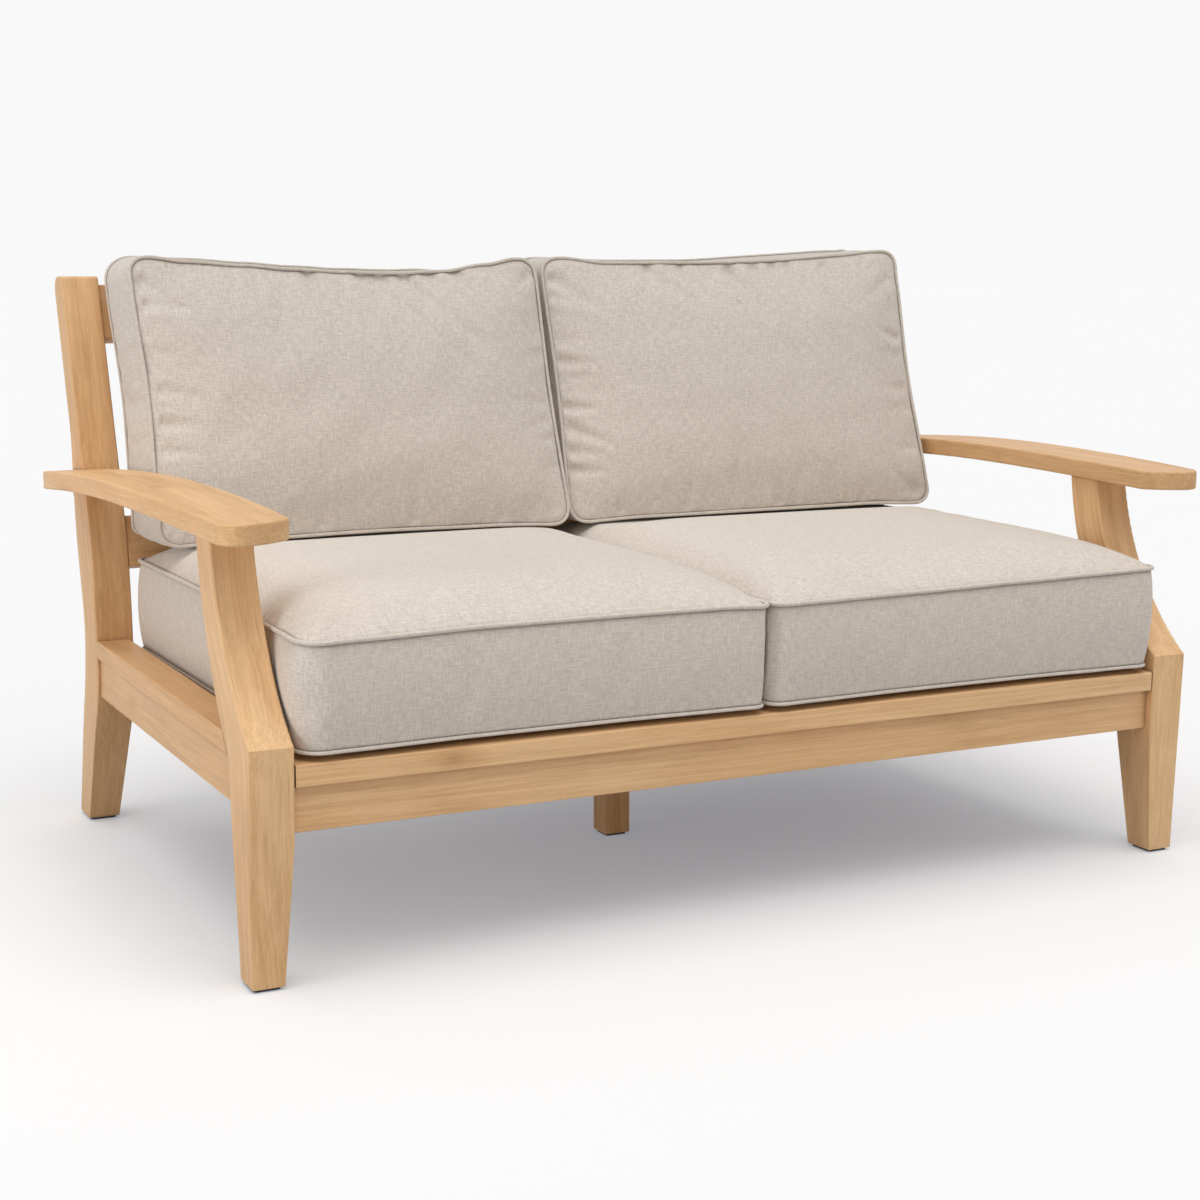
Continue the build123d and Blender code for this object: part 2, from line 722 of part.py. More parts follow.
with BuildPart() as middle_leg:
    with BuildSketch(Plane.XY.offset(glide_height)):
        with Locations(middle_foot_centre):
            Rectangle(middle_leg_width, middle_leg_depth)
    extrude(amount=beam_bottom - glide_height)
    fillet(middle_leg.edges().filter_by(Axis.Z), radius=edge_ease)
    with BuildSketch(Plane.XY):
        with Locations(middle_foot_centre):
            Circle((glide_pin + wood_fit) / 2)
    extrude(amount=glide_height + glide_pin_length + wood_fit, mode=Mode.SUBTRACT)


def corner_block(apron_rear, bolt_place):
    """Glued block behind an apron against the right leg or post, its free corner cut."""
    with BuildPart() as block:
        with BuildSketch(Plane.XY.offset(bolt_place[1] - corner_block_height / 2)):
            with BuildLine():
                Polyline(
                    (leg_inner, apron_rear),
                    (leg_inner, apron_rear + corner_block_depth),
                    (bolt_start + corner_block_cut, apron_rear + corner_block_depth),
                    (bolt_start, apron_rear + corner_block_depth - corner_block_cut),
                    (bolt_start, apron_rear),
                    close=True,
                )
            make_face()
        extrude(amount=corner_block_height)
        with BuildSketch(Plane.YZ.offset(bolt_start - overrun)):
            with Locations(bolt_place):
                Circle((bolt_shank + wood_fit) / 2)
        extrude(amount=corner_block_length + 2 * overrun, mode=Mode.SUBTRACT)
    return block


front_block_right = corner_block(knee_y + apron_set + apron_board, front_bolt_place)
rear_block_right = corner_block(knee_y + rear_apron_y + apron_board, rear_bolt_place)

# Back frame: two rails and ten flat slats let into them
back_rail_face = back_plane.offset(-back_rail_set)
back_rail_middle = back_plane.offset(-back_rail_set - back_rail_board / 2)
slat_low_end = up_the_slope(low_rail_centre_z) + low_rail_height / 2 - back_slat_tenon
slat_high_end = up_the_slope(top_rail_centre_z) - top_rail_height / 2 + back_slat_tenon
back_slat_reach = leg_inner - back_slat_edge
back_slat_pitch = 2 * back_slat_reach / (back_slat_count - 1)
back_slat_places = [
    (number * back_slat_pitch - back_slat_reach, (slat_low_end + slat_high_end) / 2)
    for number in range(back_slat_count)
]


def back_rail(centre_z, height):
    """Board across the back with a tenon at each end and a mortise for each slat."""
    with BuildPart() as rail:
        with BuildSketch(back_rail_face):
            with Locations((0, up_the_slope(centre_z))):
                Rectangle(2 * leg_inner, height)
        extrude(amount=-back_rail_board)
        fillet(rail.edges().filter_by(Axis.X), radius=edge_ease)
        with BuildSketch(back_rail_middle):
            with Locations((0, up_the_slope(centre_z))):
                Rectangle(2 * (leg_inner + tenon_length), height - 2 * tenon_shoulder)
        extrude(amount=tenon_thickness / 2, both=True)
        with BuildSketch(back_rail_middle):
            with Locations(*back_slat_places):
                Rectangle(back_slat_width + wood_fit, slat_high_end - slat_low_end + wood_fit)
        extrude(amount=(back_slat_board + wood_fit) / 2, both=True, mode=Mode.SUBTRACT)
    return rail


top_back_rail = back_rail(top_rail_centre_z, top_rail_height)
low_back_rail = back_rail(low_rail_centre_z, low_rail_height)
for number, place in enumerate(back_slat_places):
    with BuildPart() as back_slat:
        with BuildSketch(back_rail_middle):
            with Locations(place):
                Rectangle(back_slat_width, slat_high_end - slat_low_end)
        extrude(amount=back_slat_board / 2, both=True)
        fillet(back_slat.edges().group_by(SortBy.LENGTH)[-1], radius=edge_ease)
    keep(back_slat, "back_slat_" + str(number + 1))

# Cushion outline: four sides that draw in between rounded corners
half_diagonal = sqrt(2) / 2


def cushion_outline(plane, left, right, low, high, corner, low_draw):
    """Closed outline in the given plane's own coordinates, its low side bowed or straight."""
    turn = corner * (1 - half_diagonal)
    middle_x = (left + right) / 2
    middle_y = (low + high) / 2
    with BuildSketch(plane) as outline:
        with BuildLine():
            if low_draw > 0:
                ThreePointArc(
                    (left + corner, low), (middle_x, low + low_draw), (right - corner, low)
                )
            else:
                Line((left + corner, low), (right - corner, low))
            ThreePointArc(
                (right - corner, low), (right - turn, low + turn), (right, low + corner)
            )
            ThreePointArc(
                (right, low + corner), (right - side_draw, middle_y), (right, high - corner)
            )
            ThreePointArc(
                (right, high - corner), (right - turn, high - turn), (right - corner, high)
            )
            ThreePointArc(
                (right - corner, high), (middle_x, high - side_draw), (left + corner, high)
            )
            ThreePointArc(
                (left + corner, high), (left + turn, high - turn), (left, high - corner)
            )
            ThreePointArc(
                (left, high - corner), (left + side_draw, middle_y), (left, low + corner)
            )
            ThreePointArc(
                (left, low + corner), (left + turn, low + turn), (left + corner, low)
            )
        make_face()
    return outline.sketch


seat_cushion_width = leg_inner - cushion_side_gap - cushion_gap / 2
low_rail_bottom = low_rail_centre_z - low_rail_height / 2 * cos(rake)
seat_cushion_rear = front_of_post(low_rail_bottom) + back_rail_set / cos(rake) - cushion_rear_gap
seat_crown_inset = (seat_cushion_width - seat_crown_flat) / 2


def seat_outline(height, inset, rear_inset):
    """Outline of the right seat cushion at a height over its underside."""
    return cushion_outline(
        Plane.XY.offset(seat_top + rest_gap + height),
        cushion_gap / 2 + inset,
        cushion_gap / 2 + seat_cushion_width - inset,
        knee_y - cushion_proud + inset,
        knee_y + seat_cushion_rear - rear_inset,
        cushion_corner + inset * corner_growth_share,
        side_draw,
    )


# Seat cushion: a boxed pad between two welts, flat below and crowned above
seat_upper_welt = seat_lower_welt + seat_boxing
with BuildPart() as seat_cushion_right:
    loft(
        sections=[
            seat_outline(0, seat_under_inset, seat_under_inset),
            seat_outline(
                seat_lower_welt * seat_under_share,
                seat_under_inset * crown_height_shares[0],
                seat_under_inset * crown_height_shares[0],
            ),
            seat_outline(seat_lower_welt, boxing_inset, boxing_inset),
        ],
        ruled=True,
    )
    loft(
        sections=[
            seat_outline(seat_lower_welt, boxing_inset, boxing_inset),
            seat_outline((seat_lower_welt + seat_upper_welt) / 2, 0, 0),
            seat_outline(seat_upper_welt, boxing_inset, boxing_inset),
        ]
    )
    loft(
        sections=[seat_outline(seat_upper_welt, boxing_inset, boxing_inset)]
        + [
            seat_outline(
                seat_upper_welt + seat_crown * height_share,
                seat_crown_inset * inset_share,
                seat_rear_inset * inset_share,
            )
            for height_share, inset_share in zip(crown_height_shares, crown_inset_shares)
        ]
    )

# Back cushion: the same in planes parallel to the raked back, its boxing level and its
# underside straight where it rests on the seat's crown
back_cushion_bottom = seat_top + 2 * rest_gap + seat_upper_welt + seat_crown
back_cushion_middle = (back_cushion_top + back_cushion_bottom) / 2
back_half_length = (back_cushion_top - back_cushion_bottom) / 2 / cos(rake)
back_crown_inset = back_half_length - back_crown_flat / 2
back_contact_y = front_of_post(back_cushion_middle) + back_rail_set / cos(rake) - rest_gap


def back_outline(forward, inset):
    """Outline of a back cushion at a level distance in front of the back frame."""
    return cushion_outline(
        Plane(
            origin=(0, knee_y + back_contact_y - forward, back_cushion_middle),
            x_dir=(1, 0, 0),
            z_dir=back_plane.z_dir,
        ),
        cushion_gap / 2 + inset,
        cushion_gap / 2 + seat_cushion_width - inset,
        inset - back_half_length,
        back_half_length - inset,
        back_corner + inset * corner_growth_share,
        0,
    )


back_front_welt = back_cushion_pad + back_boxing
with BuildPart() as back_cushion:
    loft(
        sections=[
            back_outline(back_cushion_pad * (1 - height_share), back_rear_inset * inset_share)
            for height_share, inset_share in zip(
                reversed(crown_height_shares), reversed(crown_inset_shares)
            )
        ]
        + [back_outline(back_cushion_pad, back_boxing_inset)]
    )
    loft(
        sections=[
            back_outline(back_cushion_pad, back_boxing_inset),
            back_outline((back_cushion_pad + back_front_welt) / 2, 0),
            back_outline(back_front_welt, back_boxing_inset),
        ]
    )
    loft(
        sections=[back_outline(back_front_welt, back_boxing_inset)]
        + [
            back_outline(
                back_front_welt + back_crown * height_share, back_crown_inset * inset_share
            )
            for height_share, inset_share in zip(crown_height_shares, crown_inset_shares)
        ]
    )

# The right one stands turned, its outer side forward, about its inner front foot
back_foot_y = (
    front_of_post(back_cushion_bottom) + back_rail_set / cos(rake) - rest_gap - back_front_welt
)
turn_axis = Axis((cushion_gap / 2, knee_y + back_foot_y, back_cushion_bottom), (0, 0, 1))
with BuildPart() as back_cushion_right:
    add(back_cushion.part.rotate(turn_axis, -back_turn).moved(Location((0, back_turn_set, 0))))

# Small angle behind each post under the arm's tail
with BuildPart() as arm_bracket_right:
    with BuildSketch(Plane.YZ.offset(leg_outer - bracket_width)):
        with BuildLine():
            Polyline(
                behind_knees(rear_of_post(bracket_z), bracket_z),
                behind_knees(
                    bracket_y + bracket_leg, under_arm(bracket_y + bracket_leg) - wood_fit
                ),
                behind_knees(
                    bracket_y + bracket_leg,
                    under_arm(bracket_y + bracket_leg) - wood_fit - bracket_steel,
                ),
                behind_knees(
                    rear_of_post(bracket_z - bracket_steel) + bracket_steel,
                    bracket_z - bracket_steel,
                ),
                behind_knees(
                    rear_of_post(bracket_z - bracket_leg) + bracket_steel,
                    bracket_z - bracket_leg,
                ),
                behind_knees(rear_of_post(bracket_z - bracket_leg), bracket_z - bracket_leg),
                close=True,
            )
        make_face()
    extrude(amount=bracket_width)
    with Locations(
        post_screw_plane.offset(bracket_steel), tail_screw_plane.offset(bracket_steel)
    ):
        Hole(radius=(screw_shank + wood_fit) / 2, depth=2 * bracket_steel)


def mirrored_places(places):
    """Each (x, y) place and its mirror image."""
    return places + [(-x, y) for x, y in places]


# Fasteners and glides, each kind in one group
with BuildPart() as slat_screws:
    with BuildSketch(Plane.XY.offset(seat_top - screw_length)):
        with Locations(*slat_screw_places):
            Circle(screw_shank / 2)
    extrude(amount=screw_length)
    for x, y in slat_screw_places:
        with Locations((x, y, seat_top - screw_head_height / 2)):
            Cone(screw_shank / 2, screw_head / 2, screw_head_height)

with BuildPart() as arm_screws:
    for side in (-1, 1):
        for y, z in arm_screw_places:
            with Locations(
                Plane(origin=(side * leg_inner, y, z), x_dir=(0, 1, 0), z_dir=(-side, 0, 0))
            ):
                Cylinder(
                    screw_shank / 2, arm_screw_length, align=(Align.CENTER, Align.CENTER, Align.MAX)
                )
                Cone(
                    screw_shank / 2, screw_head / 2, screw_head_height,
                    align=(Align.CENTER, Align.CENTER, Align.MAX),
                )

with BuildPart() as arm_dowels:
    with BuildSketch(Plane.XY.offset(dowel_centre_z)):
        with Locations(*mirrored_places(dowel_places)):
            Circle(dowel_diameter / 2)
    extrude(amount=dowel_length / 2, both=True)

with BuildPart() as corner_bolts:
    for side in (-1, 1):
        for y, z in (front_bolt_place, rear_bolt_place):
            with BuildSketch(Plane.YZ.offset(side * bolt_start)):
                with Locations((y, z)):
                    Circle(bolt_shank / 2)
            extrude(amount=side * bolt_length)
            with BuildSketch(Plane.YZ.offset(side * bolt_start)):
                with Locations((y, z)):
                    RegularPolygon(radius=bolt_head / 2, side_count=6, major_radius=False)
            extrude(amount=-side * bolt_head_height)

with BuildPart() as bracket_screws:
    with Locations(
        post_screw_plane.offset(bracket_steel), tail_screw_plane.offset(bracket_steel)
    ):
        Cylinder(
            screw_shank / 2,
            bracket_screw_length,
            align=(Align.CENTER, Align.CENTER, Align.MAX),
        )
        Cylinder(
            screw_head / 2,
            screw_head_height,
            align=(Align.CENTER, Align.CENTER, Align.MIN),
        )
    mirror(about=Plane.YZ)

with BuildPart() as foot_glides:
    for places, width, depth in (
        (
            mirrored_places([front_foot_centre]),
            leg_board - foot_inner_taper,
            foot_depth,
        ),
        (
            mirrored_places([rear_foot_centre]),
            leg_board - post_inner_taper - post_outer_taper,
            post_foot_depth,
        ),
        ([middle_foot_centre], middle_leg_width, middle_leg_depth),
    ):
        with BuildSketch():
            with Locations(*places):
                RectangleRounded(width - 2 * glide_inset, depth - 2 * glide_inset, glide_corner)
        extrude(amount=glide_height)
        with BuildSketch():
            with Locations(*places):
                Circle(glide_pin / 2)
        extrude(amount=glide_height + glide_pin_length)

# Pieces that stand alone
for piece, name in (
    (front_apron, "front_apron"),
    (front_cap, "front_cap"),
    (rear_apron, "rear_apron"),
    (centre_beam, "centre_beam"),
    (middle_leg, "middle_leg"),
    (top_back_rail, "top_back_rail"),
    (low_back_rail, "low_back_rail"),
    (slat_screws, "slat_screws"),
    (arm_screws, "arm_screws"),
    (arm_dowels, "arm_dowels"),
    (corner_bolts, "corner_bolts"),
    (bracket_screws, "bracket_screws"),
    (foot_glides, "foot_glides"),
    (back_cushion_right, "back_cushion_right"),
    (mirrored(back_cushion), "back_cushion_left"),
):
    keep(piece, name)

# Pieces with a twin on the other side
for piece, name in (
    (arm_right, "arm"),
    (front_leg_right, "front_leg"),
    (rear_post_right, "rear_post"),
    (side_rail_right, "side_rail"),
    (side_cap_right, "side_cap"),
    (ledger_right, "slat_ledger"),
    (front_block_right, "front_corner_block"),
    (rear_block_right, "rear_corner_block"),
    (arm_bracket_right, "arm_bracket"),
    (seat_cushion_right, "seat_cushion"),
):
    keep(piece, name + "_right")
    keep(mirrored(piece), name + "_left")
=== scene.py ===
import bpy
import math
import numpy as np
from mathutils import Matrix, Vector


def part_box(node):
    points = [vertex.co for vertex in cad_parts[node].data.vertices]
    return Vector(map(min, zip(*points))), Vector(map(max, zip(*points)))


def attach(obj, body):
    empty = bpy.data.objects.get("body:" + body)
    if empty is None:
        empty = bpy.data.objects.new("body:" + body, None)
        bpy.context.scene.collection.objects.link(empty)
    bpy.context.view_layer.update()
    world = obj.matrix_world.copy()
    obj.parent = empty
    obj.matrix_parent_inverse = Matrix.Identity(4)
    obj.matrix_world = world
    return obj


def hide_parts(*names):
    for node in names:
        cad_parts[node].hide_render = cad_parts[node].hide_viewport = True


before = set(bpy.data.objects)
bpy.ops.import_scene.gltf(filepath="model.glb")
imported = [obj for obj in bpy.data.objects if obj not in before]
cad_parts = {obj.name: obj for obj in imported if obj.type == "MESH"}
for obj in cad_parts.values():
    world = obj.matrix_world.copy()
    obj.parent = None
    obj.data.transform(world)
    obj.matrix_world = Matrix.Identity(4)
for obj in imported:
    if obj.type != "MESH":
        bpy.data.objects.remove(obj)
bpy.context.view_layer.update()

# Metres throughout. Depths are measured backwards from the vertical plane that the knees touch.
KNEE_Y = -0.49305

# The posts' raked front, and how far the back's rails stand behind it
POST_FRONT_Y = 0.828
POST_FRONT_Z = 0.516
RAKE_SLOPE = 120.0 / 354.0
RAKE = math.atan(RAKE_SLOPE)
RAIL_SET = 0.006

# Heights that the cushions keep to
SEAT_REST_Z = 0.2866
SEAT_CROWN_Z = 0.4741
BACK_REST_Z = 0.4750

SMALL = 1e-9
rng = np.random.default_rng(7)


def link(obj):
    bpy.context.scene.collection.objects.link(obj)
    return obj


# Camera, fitted to the photograph: its place, its angles and its focal length in pixels
CAMERA_PLACE = (-1.4408, -2.87005, 0.8973)
CAMERA_YAW, CAMERA_PITCH, CAMERA_ROLL = math.radians(-26.44), math.radians(-9.30), math.radians(0.13)
FOCAL_PIXELS = 2075.8
PICTURE_PIXELS = 1200.0
SENSOR_MM = 36.0


def camera():
    level = math.cos(CAMERA_PITCH)
    ahead = Vector((-math.sin(CAMERA_YAW) * level, math.cos(CAMERA_YAW) * level, math.sin(CAMERA_PITCH)))
    right = Vector((math.cos(CAMERA_YAW), math.sin(CAMERA_YAW), 0.0))
    up = right.cross(ahead)
    right = right * math.cos(CAMERA_ROLL) + up * math.sin(CAMERA_ROLL)
    up = right.cross(ahead)
    data = bpy.data.cameras.new("camera")
    data.sensor_width = SENSOR_MM
    data.lens = FOCAL_PIXELS / PICTURE_PIXELS * SENSOR_MM
    data.clip_end = 200.0
    obj = link(bpy.data.objects.new("camera", data))
    rows = [(right[i], up[i], -ahead[i], CAMERA_PLACE[i]) for i in range(3)]
    obj.matrix_world = Matrix(rows + [(0.0, 0.0, 0.0, 1.0)])
    bpy.context.scene.camera = obj


# Node helpers
def add(tree, kind, inputs=(), **settings):
    """Adds a node, sets its properties and then its inputs, which may be sockets or values."""
    node = tree.nodes.new(kind)
    for name, value in settings.items():
        setattr(node, name, value)
    for key, value in dict(inputs).items():
        socket = node.inputs[key]
        if isinstance(value, bpy.types.NodeSocket):
            tree.links.new(value, socket)
        else:
            socket.default_value = value
    return node


def maths(tree, operation, *values):
    return add(tree, "ShaderNodeMath", enumerate(values), operation=operation).outputs[0]


def vectors(tree, operation, *values):
    """Vector that comes of vector maths."""
    return add(tree, "ShaderNodeVectorMath", enumerate(values), operation=operation).outputs[0]


def measure(tree, operation, *values):
    """Number that comes of vector maths, such as a length."""
    return add(tree, "ShaderNodeVectorMath", enumerate(values), operation=operation).outputs["Value"]


def combine(tree, x, y, z):
    return add(tree, "ShaderNodeCombineXYZ", {0: x, 1: y, 2: z}).outputs[0]


def separate(tree, vector):
    return list(add(tree, "ShaderNodeSeparateXYZ", {0: vector}).outputs)


def ramp(tree, value, low, high, to_low, to_high, smooth=True):
    node = add(tree, "ShaderNodeMapRange", {0: value, 1: low, 2: high, 3: to_low, 4: to_high})
    node.interpolation_type = "SMOOTHSTEP" if smooth else "LINEAR"
    return node.outputs[0]


def vary(tree, level, value, low, high, amount):
    """Level, plus an amount where the value is high and minus it where the value is low."""
    return maths(tree, "MULTIPLY_ADD", ramp(tree, value, low, high, -1.0, 1.0, smooth=False), amount, level)


def noise(tree, vector, scale, detail=2.0, roughness=0.5, distortion=0.0):
    return add(tree, "ShaderNodeTexNoise", {
        "Vector": vector, "Scale": scale, "Detail": detail, "Roughness": roughness, "Distortion": distortion,
    }).outputs["Fac"]


def stretched(tree, vector, x, y, z):
    return vectors(tree, "MULTIPLY", vector, (x, y, z))


def stretched_noise(tree, vector, x, y, z, detail=2.0, roughness=0.5, distortion=0.0):
    """Noise with its own number of waves per metre along each axis."""
    return noise(tree, stretched(tree, vector, x, y, z), 1.0, detail, roughness, distortion)


def multiply_colour(tree, colour, factor):
    node = add(tree, "ShaderNodeVectorMath", {0: colour, "Scale": factor}, operation="SCALE")
    return node.outputs[0]


def mix_colour(tree, factor, first, second):
    """Mix of two colours, which are sockets or (red, green, blue)."""
    node = tree.nodes.new("ShaderNodeMix")
    node.data_type = "RGBA"
    for index, value in ((0, factor), (6, first), (7, second)):
        if isinstance(value, bpy.types.NodeSocket):
            tree.links.new(value, node.inputs[index])
        else:
            node.inputs[index].default_value = (*value, 1.0)
    return node.outputs[2]


def painted_crevice_shade(tree, colour, reach, floor_level):
    """Colour with painted shade: darker in seams and joints narrower than the reach, where ambient occlusion
    finds near surfaces.
    """
    # Painted shade: the occlusion darkens the colour itself, down to floor_level.
    clear = add(tree, "ShaderNodeAmbientOcclusion", {"Distance": reach}, samples=6).outputs["AO"]
    return multiply_colour(tree, colour, ramp(tree, clear, 0.25, 0.85, floor_level, 1.0, smooth=False))


def new_material(name):
    material = bpy.data.materials.new(name)
    material.use_nodes = True
    tree = material.node_tree
    return material, tree, tree.nodes["Principled BSDF"]


def shade(tree, shader, colour, roughness, height, strength, distance):
    """Connects colour, roughness and bump to the shader."""
    bump = add(tree, "ShaderNodeBump", {"Strength": strength, "Distance": distance, "Height": height})
    tree.links.new(colour, shader.inputs["Base Color"])
    tree.links.new(roughness, shader.inputs["Roughness"])
    tree.links.new(bump.outputs[0], shader.inputs["Normal"])


def dress(node, material):
    """Shows a piece of the CAD model in the material."""
    obj = bpy.data.objects[node]
    if not obj.material_slots:
        obj.data.materials.append(material)
    for slot in obj.material_slots:
        slot.material = material


# Light hardwood, with the grain along Z of the vector that comes in
RING_SPACING = 0.0044
WOOD_PALE = (0.800, 0.508, 0.260)
WOOD_WARM = (0.765, 0.452, 0.212)
WOOD_LATE = (0.470, 0.245, 0.100)
WOOD_CLOUDY = (0.560, 0.310, 0.125)
KNOT_HALO = (0.500, 0.250, 0.085)
KNOT_EYE = (0.190, 0.085, 0.035)


def wood_group():
    """Rings round a pith beside the board, fibres, pores, cloudy patches and at most one knot."""
    group = bpy.data.node_groups.new("board_wood", "ShaderNodeTree")
    for way, sockets in (
        ("INPUT", (
            ("Vector", "NodeSocketVector"), ("Seed", "NodeSocketFloat"), ("Pith", "NodeSocketVector"),
            ("Tone", "NodeSocketFloat"), ("Knot", "NodeSocketVector"), ("Knot size", "NodeSocketFloat"),
        )),
        ("OUTPUT", (
            ("Color", "NodeSocketColor"), ("Roughness", "NodeSocketFloat"), ("Height", "NodeSocketFloat"),
        )),
    ):
        for name, kind in sockets:
            group.interface.new_socket(name, in_out=way, socket_type=kind)
    put = group.nodes.new("NodeGroupInput").outputs
    out = group.nodes.new("NodeGroupOutput").inputs
    moved = vectors(group, "ADD", put["Vector"], combine(group, put["Seed"], put["Seed"], put["Seed"]))

    # Knot: a small dark eye in a halo, and the fibres bend round it
    to_knot = stretched(group, vectors(group, "SUBTRACT", put["Vector"], put["Knot"]), 1.0, 1.0, 0.55)
    size = maths(group, "MAXIMUM", put["Knot size"], 0.00001)
    share = maths(group, "DIVIDE", measure(group, "LENGTH", to_knot), size)
    eye = ramp(group, share, 0.05, 0.40, 0.18, 0.0)
    halo = ramp(group, share, 0.10, 1.30, 0.50, 0.0)
    bend = ramp(group, share, 0.6, 4.5, 1.0, 0.0)

    # Rings, pushed about by slow waves and shown more in some places than in others
    warp = stretched_noise(group, moved, 7.0, 7.0, 1.3)
    wide = stretched_noise(group, moved, 3.0, 3.0, 0.5, 1.0)
    push_x = ramp(group, warp, 0.0, 1.0, -0.011, 0.011, smooth=False)
    push_y = ramp(group, wide, 0.0, 1.0, -0.014, 0.014, smooth=False)
    across = vectors(group, "SUBTRACT", put["Vector"], put["Pith"])
    across = vectors(group, "ADD", across, combine(group, push_x, push_y, 0.0))
    across = stretched(group, across, 1.0, 1.0, 0.012)
    radius = maths(group, "MULTIPLY_ADD", bend, 0.006, measure(group, "LENGTH", across))
    uneven = stretched_noise(group, moved, 40.0, 40.0, 0.8, 1.0)
    count = maths(group, "MULTIPLY_ADD", uneven, 2.6, maths(group, "DIVIDE", radius, RING_SPACING))
    ring = maths(group, "FRACT", count)
    rise = ramp(group, ring, 0.05, 0.80, 0.0, 1.0)
    fall = ramp(group, ring, 0.80, 0.99, 1.0, 0.0)
    late = maths(group, "MULTIPLY", rise, fall)
    shown = ramp(group, stretched_noise(group, moved, 30.0, 30.0, 2.2), 0.38, 0.68, 0.1, 1.0)

    # Streaks, fibres, pores and slow changes of tone
    streak = stretched_noise(group, moved, 170.0, 170.0, 3.2, 3.0, 0.6)
    fibre = stretched_noise(group, moved, 520.0, 520.0, 9.0, 2.0, 0.65)
    pore = ramp(group, stretched_noise(group, moved, 1300.0, 1300.0, 55.0, 1.0), 0.60, 0.72, 0.0, 1.0)
    slow = stretched_noise(group, moved, 9.0, 9.0, 1.6)
    band = stretched_noise(group, moved, 38.0, 38.0, 0.9)
    cloud = stretched_noise(group, moved, 75.0, 75.0, 5.0, 3.0, 0.6, 0.7)
    patch = stretched_noise(group, moved, 16.0, 16.0, 4.5, 3.0, 0.55, 0.4)

    # Colour; a darker place is also a redder one
    colour = mix_colour(group, ramp(group, slow, 0.3, 0.7, 0.0, 1.0), WOOD_PALE, WOOD_WARM)
    ringed = maths(group, "MULTIPLY", maths(group, "MULTIPLY", late, shown), 0.16)
    colour = mix_colour(group, ringed, colour, WOOD_LATE)
    colour = mix_colour(group, ramp(group, patch, 0.46, 0.74, 0.0, 0.46), colour, WOOD_CLOUDY)
    colour = mix_colour(group, halo, colour, KNOT_HALO)
    colour = mix_colour(group, eye, colour, KNOT_EYE)
    level = vary(group, 1.015, streak, 0.25, 0.75, 0.070)
    level = vary(group, level, band, 0.25, 0.75, 0.055)
    level = vary(group, level, fibre, 0.30, 0.70, 0.075)
    level = vary(group, level, cloud, 0.3, 0.7, 0.055)
    level = maths(group, "MULTIPLY_ADD", pore, -0.08, level)
    level = maths(group, "MULTIPLY", level, put["Tone"])
    tint = combine(group, level, maths(group, "POWER", level, 1.35), maths(group, "POWER", level, 1.8))
    group.links.new(vectors(group, "MULTIPLY", colour, tint), out["Color"])

    # Gloss and relief
    rough = maths(group, "MULTIPLY_ADD", fibre, 0.16, maths(group, "MULTIPLY_ADD", late, -0.05, 0.42))
    group.links.new(rough, out["Roughness"])
    dents = maths(group, "MULTIPLY_ADD", late, 0.3, maths(group, "MULTIPLY", pore, -0.8))
    group.links.new(maths(group, "MULTIPLY_ADD", fibre, 0.5, dents), out["Height"])
    return group


WOOD = wood_group()
# Which axes of the model become across, across and along the grain
GRAIN_AXES = {"x": (1, 2, 0), "y": (0, 2, 1), "z": (0, 1, 2)}
# A sweep's heights and depths are brought into the unit square of the curve node
SWEEP_HEIGHT = 0.9
SWEEP_DEPTH = 0.3


def along_sweep(tree, axes, centre, sweep):
    """The depth axis, less the depth of a sweep of (z, y) points at the same height."""
    height = maths(tree, "MULTIPLY_ADD", axes[2], 1.0 / SWEEP_HEIGHT, centre[2] / SWEEP_HEIGHT)
    curve = add(tree, "ShaderNodeFloatCurve", {"Value": height})
    line = curve.mapping.curves[0]
    points = [(z / SWEEP_HEIGHT, (y - sweep[0][1]) / SWEEP_DEPTH + 0.5) for z, y in sweep]
    line.points[0].location = points[0]
    line.points[1].location = points[-1]
    for point in points[1:-1]:
        line.points.new(*point)
    curve.mapping.update()
    return maths(tree, "MULTIPLY_ADD", curve.outputs[0], -SWEEP_DEPTH, axes[1])


def board(node, grain, seed, tone=1.0, pith=(0.05, 0.09), knot=None, knot_size=0.0, sweep=None, lean=0.0):
    """Dresses one board in wood of its own.

    pith is the middle of the rings, across the grain from the board's centre. sweep is a list of
    (z, y) points that the grain follows up the board, and lean turns a straight grain.
    """
    material, tree, shader = new_material("wood_" + node)
    low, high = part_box(node)
    centre = [(a + b) / 2 for a, b in zip(low, high)]
    place = vectors(tree, "SUBTRACT", add(tree, "ShaderNodeTexCoord").outputs["Object"], centre)
    if lean:
        place = add(tree, "ShaderNodeMapping", {"Vector": place, "Rotation": (lean, 0.0, 0.0)}).outputs[0]
    axes = separate(tree, place)
    if sweep:
        axes[1] = along_sweep(tree, axes, centre, sweep)
    order = GRAIN_AXES[grain]
    inputs = {
        "Vector": combine(tree, *(axes[i] for i in order)), "Seed": seed,
        "Pith": (*pith, 0.0), "Tone": tone,
    }
    if knot:
        inputs.update({"Knot": [knot[i] - centre[i] for i in order], "Knot size": knot_size})
    wood = add(tree, "ShaderNodeGroup", inputs, node_tree=WOOD)
    # Painted shade: the wood's colour darkens in joints and under neighbouring parts.
    colour = painted_crevice_shade(tree, wood.outputs["Color"], 0.010, 0.45)
    shade(tree, shader, colour, wood.outputs["Roughness"], wood.outputs["Height"], 0.35, 0.00035)
    shader.inputs["Specular IOR Level"].default_value = 0.35
    dress(node, material)


# Woven fabric: a heathered linen weave with short slubs both ways
THREAD_SPACING = 0.0011
FABRIC_DARK = (0.702, 0.624, 0.540)
FABRIC_LIGHT = (0.716, 0.642, 0.562)


